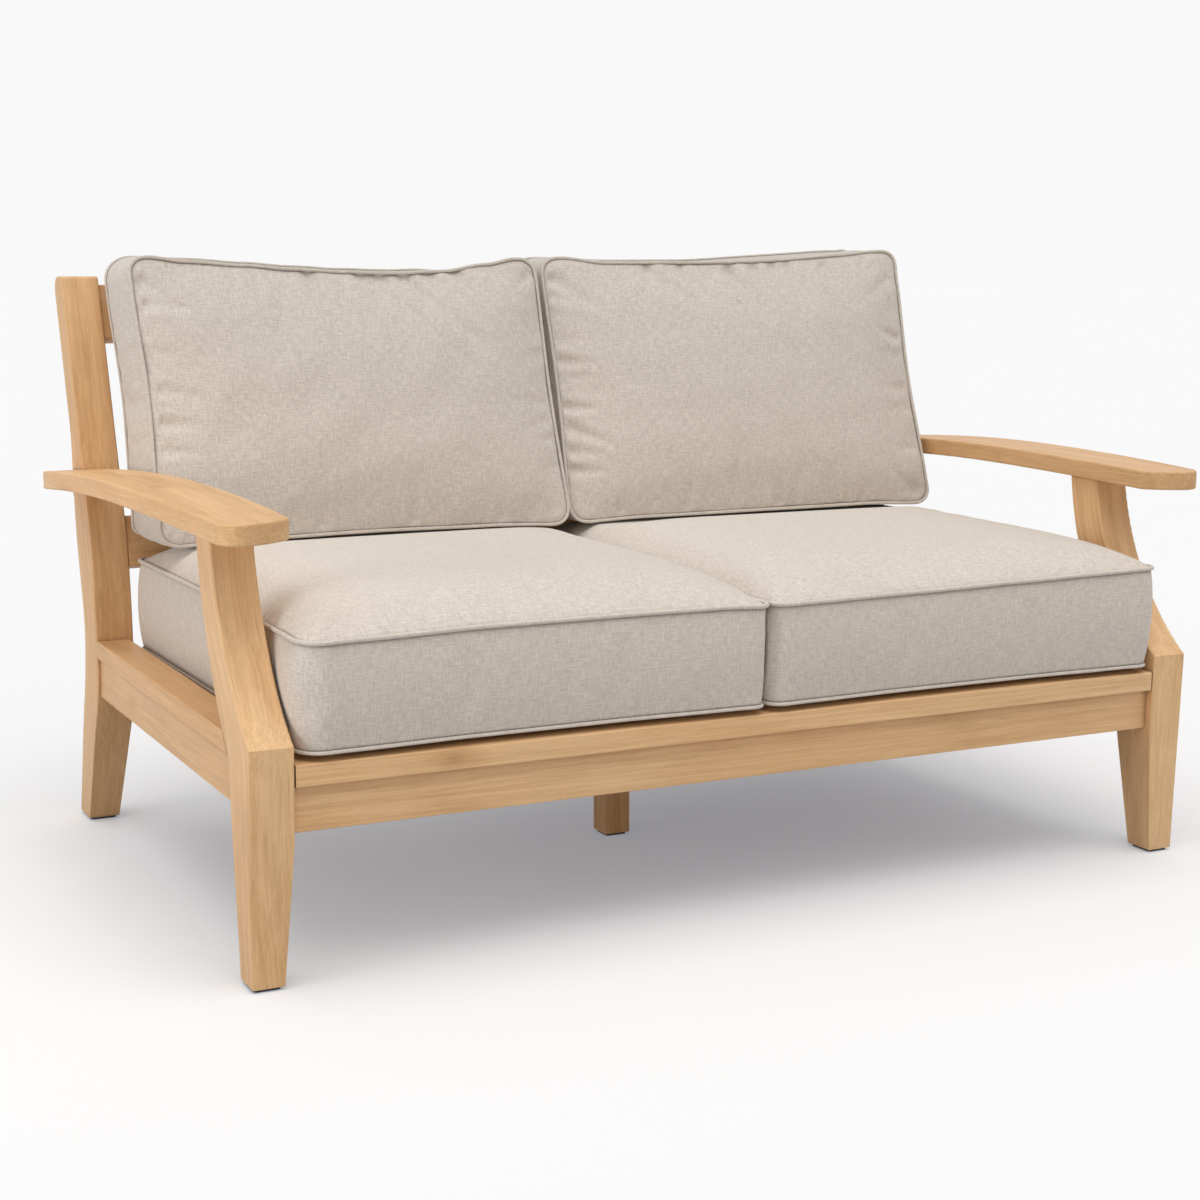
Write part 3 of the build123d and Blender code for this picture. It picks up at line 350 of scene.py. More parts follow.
def fabric_material(name, tone=1.0):
    """Fabric in the coordinates of the layer "cloth", which are in metres."""
    material, tree, shader = new_material(name)
    cloth = add(tree, "ShaderNodeUVMap", uv_map="cloth").outputs[0]
    shift = ramp(tree, noise(tree, cloth, 30.0), 0.0, 1.0, -0.0008, 0.0008, smooth=False)
    cloth = vectors(tree, "ADD", cloth, combine(tree, shift, shift, 0.0))
    across, up, _ = separate(tree, cloth)
    waves = 2 * math.pi / THREAD_SPACING
    weave = maths(
        tree, "MULTIPLY",
        maths(tree, "SINE", maths(tree, "MULTIPLY", across, waves)),
        maths(tree, "SINE", maths(tree, "MULTIPLY", up, waves)),
    )

    # Threads of each way: short slubs, fine ones and long ones
    slub_u = stretched_noise(tree, cloth, 68.0, 450.0, 1.0, 0.5)
    slub_v = stretched_noise(tree, cloth, 450.0, 68.0, 1.0, 0.5)
    fine_u = stretched_noise(tree, cloth, 120.0, 640.0, 1.0, 0.0)
    fine_v = stretched_noise(tree, cloth, 640.0, 120.0, 1.0, 0.0)
    long_u = stretched_noise(tree, cloth, 24.0, 420.0, 1.0, 1.0)
    long_v = stretched_noise(tree, cloth, 420.0, 24.0, 1.0, 1.0)
    blotch = noise(tree, cloth, 14.0, 3.0)

    level = vary(tree, tone, maths(tree, "MAXIMUM", slub_u, slub_v), 0.44, 0.70, 0.065)
    level = vary(tree, level, maths(tree, "MAXIMUM", fine_u, fine_v), 0.44, 0.70, 0.055)
    level = vary(tree, level, long_u, 0.3, 0.7, 0.008)
    level = vary(tree, level, long_v, 0.3, 0.7, 0.020)
    level = maths(tree, "MULTIPLY_ADD", weave, 0.030, level)
    level = vary(tree, level, blotch, 0.3, 0.7, 0.010)
    slubs = maths(tree, "ADD", slub_u, slub_v)
    colour = mix_colour(tree, ramp(tree, slubs, 0.80, 1.20, 0.0, 1.0), FABRIC_DARK, FABRIC_LIGHT)
    # Painted shade: the fabric's colour darkens in seams, beside the welts and where cushions meet.
    colour = painted_crevice_shade(tree, multiply_colour(tree, colour, level), 0.007, 0.42)
    rough = ramp(tree, slub_u, 0.2, 0.8, 0.86, 0.97)
    shade(tree, shader, colour, rough, maths(tree, "MULTIPLY_ADD", weave, 0.5, slubs), 0.5, 0.00010)
    shader.inputs["Specular IOR Level"].default_value = 0.2
    shader.inputs["Sheen Weight"].default_value = 0.35
    shader.inputs["Sheen Roughness"].default_value = 0.5
    return material


def hard_material(name, colour, metallic, roughness, waves, wear):
    """Zinc-plated steel or moulded plastic: fine uneven sheen and tone."""
    material, tree, shader = new_material(name)
    place = add(tree, "ShaderNodeTexCoord").outputs["Object"]
    grain = stretched_noise(tree, place, *waves, 3.0, 0.6)
    patch = noise(tree, place, 60.0)
    level = vary(tree, 1.0, grain, 0.25, 0.75, wear)
    level = vary(tree, level, patch, 0.25, 0.75, wear)
    base = add(tree, "ShaderNodeRGB").outputs[0]
    base.default_value = (*colour, 1.0)
    rough = ramp(tree, grain, 0.2, 0.8, roughness - 0.08, roughness + 0.08)
    shade(tree, shader, multiply_colour(tree, base, level), rough, grain, 0.3, 0.0001)
    shader.inputs["Metallic"].default_value = metallic
    return material


# Number helpers for the cushions
def eased(t):
    return t * t * (3 - 2 * t)


def eased_from(values, start, length):
    """0 up to the start, 1 from a length beyond it, and smooth between."""
    return eased(np.clip((values - start) / length, 0, 1))


def side_value(table, share):
    """Smooth value at a share along a side, from a table of (share, value)."""
    if not table:
        return np.zeros_like(share)
    places = np.array([p[0] for p in table])
    values = np.array([p[1] for p in table])
    step = np.clip(np.interp(share, places, np.arange(len(places))), 0, len(places) - 1)
    index = np.minimum(step.astype(int), len(places) - 2)
    part = eased(step - index)
    return values[index] * (1 - part) + values[index + 1] * part


def unit(rows):
    return rows / np.linalg.norm(rows, axis=1)[:, None]


def path_lengths(points):
    """Way gone round a closed loop at each point, and at its end."""
    steps = np.linalg.norm(np.roll(points, -1, 0) - points, axis=1)
    return np.concatenate([[0], np.cumsum(steps)])


def read_points(mesh):
    co = np.empty(len(mesh.vertices) * 3)
    mesh.vertices.foreach_get("co", co)
    return co.reshape(-1, 3)


def write_points(mesh, points):
    mesh.vertices.foreach_set("co", points.ravel())
    mesh.update()


def loop_points(left, right, low, high, corners, counts, draws, lifts):
    """Rounded rectangle as a closed loop, from the low left corner along the low side.

    corners are the radii at low left, low right, high right, high left. draws and lifts hold
    a table for each side, of its inward draw and of its height. Returns points, outward
    directions and heights.
    """
    eighth = math.pi / 4
    ends = [np.array(end, float) for end in ((left, low), (right, low), (right, high), (left, high))]
    pieces, normals, heights = [], [], []
    for side in range(4):
        start, stop = ends[side], ends[(side + 1) % 4]
        length = np.linalg.norm(stop - start)
        direction = (stop - start) / length
        outward = np.array([direction[1], -direction[0]])
        first, last = corners[side], corners[(side + 1) % 4]
        arc_first, arc_last = first * eighth, last * eighth
        total = arc_first + (length - first - last) + arc_last
        s = np.linspace(0, total, counts[side % 2] + 1)[:-1]
        a = np.where(s < arc_first, eighth * (1 - s / max(arc_first, SMALL)), 0.0)
        b = np.where(s > total - arc_last, eighth * (s - total + arc_last) / max(arc_last, SMALL), 0.0)
        run = np.where(
            s < arc_first, first - first * np.sin(a),
            np.where(s > total - arc_last, length - last + last * np.sin(b), first + s - arc_first),
        )
        share = s / total
        inward = first * (1 - np.cos(a)) + last * (1 - np.cos(b)) + side_value(draws[side], share)
        lean = np.stack([np.cos(a) * np.cos(b), np.sin(b) - np.sin(a)], 1)
        pieces.append(start + run[:, None] * direction - inward[:, None] * outward)
        normals.append(unit(lean[:, :1] * outward + lean[:, 1:] * direction))
        heights.append(side_value(lifts[side], share))
    return np.concatenate(pieces), np.concatenate(normals), np.concatenate(heights)


def coons(loop, along, up):
    """Grid of (along + 1) x (up + 1) points inside a closed loop of any dimension."""
    low = loop[: along + 1]
    right = loop[along: along + up + 1]
    high = loop[along + up: 2 * along + up + 1][::-1]
    left = np.concatenate([loop[2 * along + up:], loop[:1]])[::-1]
    u = np.linspace(0, 1, along + 1)[:, None, None]
    v = np.linspace(0, 1, up + 1)[None, :, None]
    ruled = (1 - v) * low[:, None] + v * high[:, None] + (1 - u) * left[None] + u * right[None]
    corners = (1 - u) * (1 - v) * low[0] + u * (1 - v) * low[-1] + (1 - u) * v * high[0] + u * v * high[-1]
    return ruled - corners


def crown_shape(along, up, powers, sharp):
    u = np.abs(np.linspace(-1, 1, along + 1))[:, None]
    v = np.abs(np.linspace(-1, 1, up + 1))[None, :]
    return (1 - u**sharp) ** powers[0] * (1 - v**sharp) ** powers[1]


def cushion_mesh(name, first, second, bulges, crowns, rows, counts, hold_high=False):
    """Closed mesh of two panels and a boxing between two loops, in local (across, up, forward).

    first is the loop at the back or under side and second the one at the front or upper side,
    each as (loop_points' result, level). bulges are for the low, right, high and left side of the
    boxing. crowns are (height, powers, sharpness) of the panels, counts the cells along and up.
    hold_high keeps the cloth from moving the boxing's high side.
    """
    along, up = counts
    ring = 2 * (along + up)
    bulge = np.repeat(bulges, (along, up, along, up))
    bulge = sum(np.roll(bulge, shift) for shift in range(-4, 5)) / 9
    loops = []
    for (points, outward, heights), level in (first, second):
        loops.append(np.concatenate([points, (level + heights)[:, None]], 1))
    outward = (first[0][1] + second[0][1]) / 2
    vertices, faces, uvs = [], [], []

    def put(points):
        start = sum(len(v) for v in vertices)
        vertices.append(points)
        return start

    # Boxing
    rings = []
    for k in range(rows + 1):
        t = k / rows
        swell = bulge[:, None] * (1 - (2 * t - 1) ** 2) ** 0.8
        points = loops[0] * (1 - t) + loops[1] * t
        rings.append(put(points + np.concatenate([outward * swell, np.zeros((ring, 1))], 1)))
    seam = list(range(rings[0], rings[0] + ring)) + list(range(rings[-1], rings[-1] + ring))
    if hold_high:
        seam += [start + i for start in rings[1:-1] for i in range(along + up, 2 * along + up + 1)]
    around = path_lengths(loops[1])
    depth = np.linalg.norm(loops[1] - loops[0], axis=1).mean()
    for k in range(rows):
        low, high = k / rows * depth, (k + 1) / rows * depth
        for i in range(ring):
            j = (i + 1) % ring
            faces.append((rings[k] + i, rings[k] + j, rings[k + 1] + j, rings[k + 1] + i))
            uvs.append(((around[i], low), (around[i + 1], low), (around[i + 1], high), (around[i], high)))

    # Panels, whose fabric starts at a place of its own in the weave
    for start, loop, crown, flip in zip((rings[0], rings[-1]), loops, crowns, (True, False)):
        grid = coons(loop, along, up)
        height, powers, sharp = crown
        grid[:, :, 2] += (-height if flip else height) * crown_shape(along, up, powers, sharp)
        index = -np.ones((along + 1, up + 1), int)
        index[:, 0] = start + np.arange(along + 1)
        index[along, :] = start + along + np.arange(up + 1)
        index[:, up] = start + along + up + np.arange(along, -1, -1)
        index[0, 1:] = start + 2 * along + up + np.arange(up - 1, -1, -1)
        index[0, 0] = start
        inner = put(grid[1:-1, 1:-1].reshape(-1, 3))
        index[1:-1, 1:-1] = inner + np.arange((along - 1) * (up - 1)).reshape(along - 1, up - 1)
        for i in range(along):
            for j in range(up):
                corners = [(i, j), (i + 1, j), (i + 1, j + 1), (i, j + 1)]
                if flip:
                    corners.reverse()
                faces.append(tuple(index[c] for c in corners))
                uvs.append(tuple((grid[c][0] + 0.37, grid[c][1] + 0.21) for c in corners))
    return name, np.concatenate(vertices), faces, uvs, seam, loops, outward


CLOTH_FRAMES = 20
CLOTH = {
    "quality": 5, "mass": 0.25, "tension_stiffness": 18, "compression_stiffness": 18, "shear_stiffness": 6,
    "bending_stiffness": 0.4, "tension_damping": 8, "compression_damping": 8, "air_damping": 2,
    "vertex_group_mass": "seams", "pin_stiffness": 20, "use_pressure": True,
}


def simulate(obj, seam, pressure, growth, cap):
    """Inflate the panels between their seams with cloth, then cap how far a point has moved."""
    start = read_points(obj.data)
    scene = bpy.context.scene
    group = obj.vertex_groups.new(name="seams")
    group.add([int(i) for i in seam], 1.0, "REPLACE")
    cloth = obj.modifiers.new("cloth", "CLOTH")
    for name, value in CLOTH.items():
        setattr(cloth.settings, name, value)
    cloth.settings.uniform_pressure_force = pressure
    cloth.settings.shrink_min = -growth
    cloth.settings.effector_weights.gravity = 0
    cloth.collision_settings.use_collision = False
    cloth.point_cache.frame_start = 1
    cloth.point_cache.frame_end = CLOTH_FRAMES + 4
    for number in range(1, CLOTH_FRAMES + 1):
        scene.frame_set(number)
        depsgraph = bpy.context.evaluated_depsgraph_get()
        inflated = read_points(obj.evaluated_get(depsgraph).data)
    obj.modifiers.remove(cloth)
    obj.vertex_groups.clear()
    scene.frame_set(1)
    move = inflated - start
    size = np.linalg.norm(move, axis=1)
    move *= (np.tanh(size / cap) * cap / np.maximum(size, SMALL))[:, None]
    write_points(obj.data, start + move)


def crease_seams(obj, seam, ring, amount):
    """Keep the two seams, the first two rings of the list, sharper than the rest."""
    pairs = set()
    for start in (0, ring):
        pairs |= {frozenset((seam[start + i], seam[start + (i + 1) % ring])) for i in range(ring)}
    ends = np.empty(len(obj.data.edges) * 2, int)
    obj.data.edges.foreach_get("vertices", ends)
    creases = [amount if frozenset(pair) in pairs else 0.0 for pair in ends.reshape(-1, 2).tolist()]
    obj.data.attributes.new("crease_edge", "FLOAT", "EDGE").data.foreach_set("value", creases)


def refine(obj, levels):
    """Give the object the subdivided mesh as its own."""
    smooth = obj.modifiers.new("smooth", "SUBSURF")
    smooth.levels = levels
    smooth.render_levels = levels
    depsgraph = bpy.context.evaluated_depsgraph_get()
    mesh = bpy.data.meshes.new_from_object(
        obj.evaluated_get(depsgraph), preserve_all_data_layers=True, depsgraph=depsgraph,
    )
    obj.modifiers.remove(smooth)
    mesh.name = obj.name
    obj.data = mesh


def smooth_loop(points, rounds):
    """Closed loop as a finer, smoother one, the way that subdivision takes a seam."""
    for _ in range(rounds):
        before, after = np.roll(points, 1, 0), np.roll(points, -1, 0)
        pairs = np.stack([(before + 6 * points + after) / 8, (points + after) / 2], 1)
        points = pairs.reshape(-1, points.shape[1])
    return points


def fold_depth(points, folds):
    """Depth of small folds in a panel; each runs from its seam at an angle and dies out.

    folds are (across, up, angle in degrees, length, width, depth). A low ridge stands along
    each side of the valley.
    """
    depth = np.zeros(len(points))
    for x, y, angle, length, width, deep in folds:
        turn = math.radians(angle)
        ahead = np.array([math.cos(turn), math.sin(turn)])
        offset = points[:, :2] - np.array([x, y])
        along = offset @ ahead / length
        across = (offset[:, 0] * ahead[1] - offset[:, 1] * ahead[0]) / width
        across = across / (0.8 + 0.5 * np.clip(1 - along, 0, 1))
        fade = eased_from(along, -0.02, 0.14) * np.clip(1 - along, 0, 1) ** 1.1
        valley = np.exp(-across**2) - 0.30 * np.exp(-((np.abs(across) - 1.9) / 0.9) ** 2)
        depth += deep * fade * valley
    return depth


def crumple(points, size, waves):
    """Slight unevenness of stuffed fabric: a few long waves in random directions."""
    rise = np.zeros(len(points))
    for _ in range(waves):
        direction = rng.normal(size=3)
        direction /= np.linalg.norm(direction)
        length = rng.uniform(0.055, 0.150)
        rise += np.sin(points @ direction * 2 * math.pi / length + rng.uniform(0, 2 * math.pi))
    return rise * size / math.sqrt(waves)


def make_object(name, points, faces, uvs, material):
    mesh = bpy.data.meshes.new(name)
    mesh.from_pydata([tuple(p) for p in points], [], faces)
    layer = mesh.uv_layers.new(name="cloth")
    layer.data.foreach_set("uv", np.array(uvs, float).ravel())
    mesh.materials.append(material)
    mesh.polygons.foreach_set("use_smooth", [True] * len(mesh.polygons))
    mesh.update()
    return link(bpy.data.objects.new(name, mesh))


WELT_SIDES = 10
WELT_LUMPS = 90
# How far the rear or lower welt and the front or upper one lean off the seam, and stand out by
# what share of their radius
WELT_TILTS = (-1.0, 0.5)
WELT_SETS = (0.5, 0.7)


def welt(name, loops, radii, material):
    """Piping: a covered cord along each loop of (points, outward directions)."""
    vertices, faces, uvs = [], [], []
    for (points, outward), radius in zip(loops, radii):
        count = len(points)
        along = unit(np.roll(points, -1, 0) - np.roll(points, 1, 0))
        out = unit(outward - (outward * along).sum(1)[:, None] * along)
        over = np.cross(along, out)
        around = path_lengths(points)
        places = np.linspace(0, around[-1], WELT_LUMPS)
        lumps = np.interp(around[:-1], places, rng.uniform(-1, 1, WELT_LUMPS))
        thick = radius * (1 + 0.05 * lumps)
        start = len(vertices)
        step = 2 * math.pi / WELT_SIDES
        for i in range(count):
            for k in range(WELT_SIDES):
                spoke = math.cos(step * k) * out[i] + math.sin(step * k) * over[i]
                vertices.append(points[i] + thick[i] * spoke)
        for i in range(count):
            near, far = start + i * WELT_SIDES, start + (i + 1) % count * WELT_SIDES
            for k in range(WELT_SIDES):
                m = (k + 1) % WELT_SIDES
                faces.append((near + m, far + m, far + k, near + k))
                a, b = k * step * radius, (k + 1) * step * radius
                uvs.append(((around[i], b), (around[i + 1], b), (around[i + 1], a), (around[i], a)))
    return make_object(name, vertices, faces, uvs, material)


# Frames that bring a cushion's own coordinates (across, up, forward) into the model
def seat_place(points):
    points = np.asarray(points, float)
    return np.stack([points[:, 0], KNEE_Y + points[:, 1], points[:, 2]], 1)


def rail_face(z):
    """Depth of the back rails' front at a height."""
    return POST_FRONT_Y + (z - POST_FRONT_Z) * RAKE_SLOPE + RAIL_SET / math.cos(RAKE)


BACK_MIDDLE_Z = 0.6898
BACK_GAP = 0.0003
BACK_FRONT_LEVEL = 0.198
BACK_REAR_LEVEL = 0.038
# The right back cushion stands turned about its front foot and set back
BACK_TURN = math.radians(-4.4)
BACK_TURN_SET = 0.0086
BACK_FOOT_X = 0.0004
BACK_FOOT_Z = 0.4746
BACK_FOOT_Y = KNEE_Y + rail_face(BACK_FOOT_Z) - BACK_GAP - BACK_FRONT_LEVEL


def back_place(turned):
    """Frame of a back cushion, whose up axis follows the rake."""
    def place(points):
        points = np.asarray(points, float)
        x = points[:, 0]
        y = KNEE_Y + rail_face(BACK_MIDDLE_Z) - BACK_GAP + points[:, 1] * math.sin(RAKE) - points[:, 2]
        z = BACK_MIDDLE_Z + points[:, 1] * math.cos(RAKE)
        if turned:
            dx, dy = x - BACK_FOOT_X, y - BACK_FOOT_Y
            x = BACK_FOOT_X + dx * math.cos(BACK_TURN) - dy * math.sin(BACK_TURN)
            y = BACK_FOOT_Y + dx * math.sin(BACK_TURN) + dy * math.cos(BACK_TURN) + BACK_TURN_SET
        return np.stack([x, y, z], 1)
    return place


SEAM_CREASE = 0.7
CRUMPLE_WAVES = 9
# Folds and unevenness of the front panel fade out over this depth behind its seam
FRONT_FADE = 0.006


def finish_cushion(
    made, place, limit, material, node,
    pressure, growth, cap, levels, uneven, folds, welt_radii,
):
    """Inflates a cushion, brings it into the model and gives it folds, unevenness and its welts.

    limit keeps the placed points clear of what the cushion lies on. node is the solid that it
    replaces, whose name its body has too.
    """
    name, points, faces, uvs, seam, loops, outward = made
    obj = make_object(name, points, faces, uvs, material)
    simulate(obj, seam, pressure, growth, cap)
    crease_seams(obj, seam, len(outward), SEAM_CREASE)
    refine(obj, levels)
    co = read_points(obj.data)
    front = loops[1][:, 2].mean()
    inside = np.clip((co[:, 2] - front + FRONT_FADE) / FRONT_FADE, 0, 1)
    co[:, 2] += inside * (crumple(co, uneven, CRUMPLE_WAVES) - fold_depth(co, folds))
    write_points(obj.data, limit(place(co)))
    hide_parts(node)
    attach(obj, node)
    cords = []
    flat = np.concatenate([outward, np.zeros((len(outward), 1))], 1)
    for loop, radius, tilt, share in zip(loops, welt_radii, WELT_TILTS, WELT_SETS):
        away = unit(smooth_loop(flat, 2) + np.array([0.0, 0.0, tilt]))
        turned = place(away) - place(np.zeros_like(away))
        cords.append((place(smooth_loop(loop, 2) + away * radius * share), turned))
    cord = welt(name + "_welts", cords, welt_radii, material)
    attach(cord, node)


bpy.context.scene.view_settings.view_transform = "Standard"
camera()

# Floor: it shows pale to the camera and in gloss, and lights the object as a greyer one
FLOOR_HALF = 60
FLOOR_Z = -0.0004
floor_mesh = bpy.data.meshes.new("floor")
floor_corners = [(x * FLOOR_HALF, y * FLOOR_HALF, FLOOR_Z) for x, y in ((-1, -1), (1, -1), (1, 1), (-1, 1))]
floor_mesh.from_pydata(floor_corners, [], [(0, 1, 2, 3)])
floor = link(bpy.data.objects.new("floor", floor_mesh))
floor_material, tree, unused_shader = new_material("floor")
tree.nodes.remove(unused_shader)
paths = add(tree, "ShaderNodeLightPath").outputs
seen = maths(tree, "MAXIMUM", paths["Is Camera Ray"], paths["Is Glossy Ray"])
plain = add(tree, "ShaderNodeBsdfDiffuse", {"Color": (0.55, 0.55, 0.555, 1.0)}).outputs[0]
pale = add(tree, "ShaderNodeBsdfDiffuse", {"Color": (0.786, 0.752, 0.712, 1.0)}).outputs[0]
glow = add(tree, "ShaderNodeEmission", {"Color": (0.69, 0.83, 1.0, 1.0), "Strength": 0.24}).outputs[0]
white = add(tree, "ShaderNodeAddShader", {0: pale, 1: glow}).outputs[0]
floor_mix = add(tree, "ShaderNodeMixShader", {0: seen, 1: plain, 2: white})
tree.links.new(floor_mix.outputs[0], tree.nodes["Material Output"].inputs["Surface"])
floor_mesh.materials.append(floor_material)

# World: an even backdrop, and on the object light from above and from the front
BACKDROP = 0.947
FRONT_LIGHT = (0.20, -0.92, 0.34)
world = bpy.data.worlds.new("world")
bpy.context.scene.world = world
world.use_nodes = True
tree = world.node_tree
background = tree.nodes["Background"].inputs
paths = add(tree, "ShaderNodeLightPath").outputs
seen = maths(tree, "MAXIMUM", paths["Is Glossy Ray"], paths["Is Transmission Ray"])
seen = maths(tree, "MAXIMUM", paths["Is Camera Ray"], seen)
towards = add(tree, "ShaderNodeTexCoord").outputs["Generated"]
ambient = ramp(tree, separate(tree, towards)[2], 0.0, 0.8, 0.12, 0.62)
facing = measure(tree, "DOT_PRODUCT", towards, FRONT_LIGHT)
ambient = maths(tree, "ADD", ambient, ramp(tree, facing, 0.35, 1.0, 0.0, 0.34))
shown = maths(tree, "MULTIPLY_ADD", seen, maths(tree, "SUBTRACT", BACKDROP, ambient), ambient)
tree.links.new(shown, background["Strength"])
background["Color"].default_value = (1.0, 1.0, 1.0, 1.0)

# Key light: a soft sun, whose level is what it adds to a surface that faces it
KEY_FROM = Vector((-0.10, -0.20, 1.0))
KEY_LEVEL = 0.41
key = bpy.data.lights.new("key", "SUN")
key.energy = KEY_LEVEL * math.pi
key.angle = math.radians(60)
key_object = link(bpy.data.objects.new("key", key))
key_object.rotation_euler = KEY_FROM.to_track_quat("Z", "Y").to_euler()

# Side light: a low wide box at the left, which is narrowed to keep off the floor
SIDE_PLACE = Vector((-2.4, -0.35, 0.75))
SIDE_AIM = Vector((-0.5, 0.0, 0.62))
box = bpy.data.lights.new("side", "AREA")
box.shape = "RECTANGLE"
box.size = 1.6
box.size_y = 0.6
box.spread = math.radians(75)
box.energy = 2.8
box_object = link(bpy.data.objects.new("side", box))
box_object.location = SIDE_PLACE
box_object.rotation_euler = (SIDE_PLACE - SIDE_AIM).to_track_quat("Z", "Y").to_euler()
box_object.visible_camera = False

# Boards: grain axis, seed, tone and place of the pith
FRONT_LEG_SWEEP = [
    (0.0, 0.034), (0.197, 0.043), (0.282, 0.044), (0.310, 0.050),
    (0.368, 0.090), (0.454, 0.150), (0.519, 0.175), (0.60, 0.186),
]
POST_SWEEP = [
    (0.0, 0.940), (0.197, 0.856), (0.312, 0.836), (0.400, 0.846),
    (0.516, 0.872), (0.640, 0.899), (0.87, 0.977),
]
# The right arm's lower tone is partly painted shade, for the shade on its inner side; the left's is its own
# tone.
ARM_TONE_AND_SHADE = {"left": 0.96, "right": 0.88}
ARM_KNOT = {"left": (-0.735, -0.12, 0.59), "right": (0.682, -0.301, 0.577)}
for side, sign, seed in (("left", -1, 1.0), ("right", 1, 2.0)):
    board("front_leg_" + side, "z", 11.3 * seed, 1.05, (0.11 * sign, -0.09), sweep=FRONT_LEG_SWEEP)
    board("rear_post_" + side, "z", 7.7 * seed, 0.95, (-0.12, 0.12), sweep=POST_SWEEP)
    board("arm_" + side, "y", 3.1 * seed, ARM_TONE_AND_SHADE[side], (0.012 * sign, -0.085), ARM_KNOT[side], 0.016)
    board("side_rail_" + side, "y", 5.9 * seed, 0.92, (0.09, 0.02))
    board("side_cap_" + side, "y", 6.7 * seed, 0.92, (0.02, 0.12))
    board("slat_ledger_" + side, "y", 8.1 * seed, 0.95)
    board("front_corner_block_" + side, "z", 9.3 * seed, 0.94)
    board("rear_corner_block_" + side, "z", 10.9 * seed, 0.94)
board("front_apron", "x", 21.7, 1.05, (0.10, 0.07))
board("front_cap", "x", 23.9, 1.05, (0.09, -0.10), (-0.461, -0.4901, 0.273), 0.026)
board("rear_apron", "x", 25.3, 0.96, (0.09, 0.04))
board("centre_beam", "y", 27.1, 0.95)
board("middle_leg", "z", 29.9, 0.95, (0.03, 0.06))
board("top_back_rail", "x", 31.1, 1.0, (0.12, 0.02))
board("low_back_rail", "x", 33.7, 0.98, (0.10, 0.05))
for number in range(1, 10):
    tone = 0.95 + 0.01 * (number * 5 % 7)
    board("seat_slat_%d" % number, "x", 40.0 + 1.7 * number, tone, (0.02, -0.06 - 0.01 * (number % 3)))
for number in range(1, 11):
    tone = 0.95 + 0.01 * (number * 3 % 7)
    board("back_slat_%d" % number, "z", 60.0 + 2.3 * number, tone, (0.01 * (number % 3), 0.07), lean=RAKE)
board("arm_dowels", "z", 77.0, 0.95)

steel = hard_material("steel", (0.58, 0.58, 0.57), 1.0, 0.36, (900.0, 900.0, 90.0), 0.06)
for node in (
    "arm_bracket_left", "arm_bracket_right", "slat_screws", "arm_screws", "corner_bolts", "bracket_screws",
):
    dress(node, steel)
plastic = hard_material("glide_plastic", (0.035, 0.033, 0.031), 0.0, 0.55, (1200.0, 1200.0, 1200.0), 0.10)
dress("foot_glides", plastic)

# Tables of a side are (share along the side, value); the sides run low, right, high, left
FLAT = [[], [], [], []]


def outline(side, low, high, outer_side, joint_side):
    """The four sides of a loop; the joint side is the one towards the other cushion."""
    if side == "left":
        return [low, joint_side, high, outer_side]
    return [low, outer_side, high, joint_side]


def across_of(side, inner, outer):
    return (-outer, -inner) if side == "left" else (inner, outer)


# Seat cushions: the low side is the front, the high side the rear, and the first corner the front left
SEAT_CELLS = (60, 72)
SEAT_INNER, SEAT_OUTER = 0.0040, 0.6635
SEAT_REAR = 0.792
SEAT_LOW_SEAM_Z, SEAT_HIGH_SEAM_Z = 0.3008, 0.4365
SEAT_CORNERS = {"left": (0.036, 0.018, 0.034, 0.014), "right": (0.026, 0.018, 0.014, 0.034)}
SEAT_BULGES = {"left": (0.0060, 0.0, 0.004, 0.0082), "right": (0.0060, 0.0082, 0.004, 0.0)}
SEAT_CROWNS = ((0.0165, (1.0, 1.0), 2.6), (0.0480, (0.34, 0.45), 3.3))
SEAT_DRAW_SIDE = [(0, 0), (0.12, 0.003), (0.5, 0.006), (0.88, 0.003), (1, 0)]
SEAT_DRAW_FRONT = [(0, 0), (0.08, 0.004), (0.35, 0.010), (0.65, 0.010), (0.92, 0.004), (1, 0)]
SEAT_DRAW_JOINT = [(0, 0), (0.5, 0.002), (1, 0)]
SEAT_LIFTS = {
    "left": [[(0, -0.001), (0.1, 0.0), (0.4, 0.0025), (0.9, 0.0025), (1, 0.0)], [], [], []],
    "right": [
        [(0, 0.0), (0.35, 0.001), (0.65, 0.004), (0.86, 0.007), (1, 0.009)],
        [(0, 0.009), (0.3, 0.006), (0.7, 0.008), (1, 0.004)],
        [(0, 0.004), (0.25, 0), (1, 0)],
        [],
    ],
}


def rest_on_slats(co):
    """Keeps the crown low under the back cushions, and the under side above the slats."""
    foot = 0.600 - 0.028 * np.clip(co[:, 0] / 0.6, 0, 1)
    ahead = eased(np.clip((foot - (co[:, 1] - KNEE_Y)) / 0.07, 0, 1))
    soft = 0.004
    top = SEAT_CROWN_Z + 0.016 * ahead - soft
    over = co[:, 2] - top
    co[:, 2] = np.where(over > 0, top + soft * np.tanh(over / soft), co[:, 2])
    co[:, 2] = np.maximum(co[:, 2], SEAT_REST_Z)
    return co


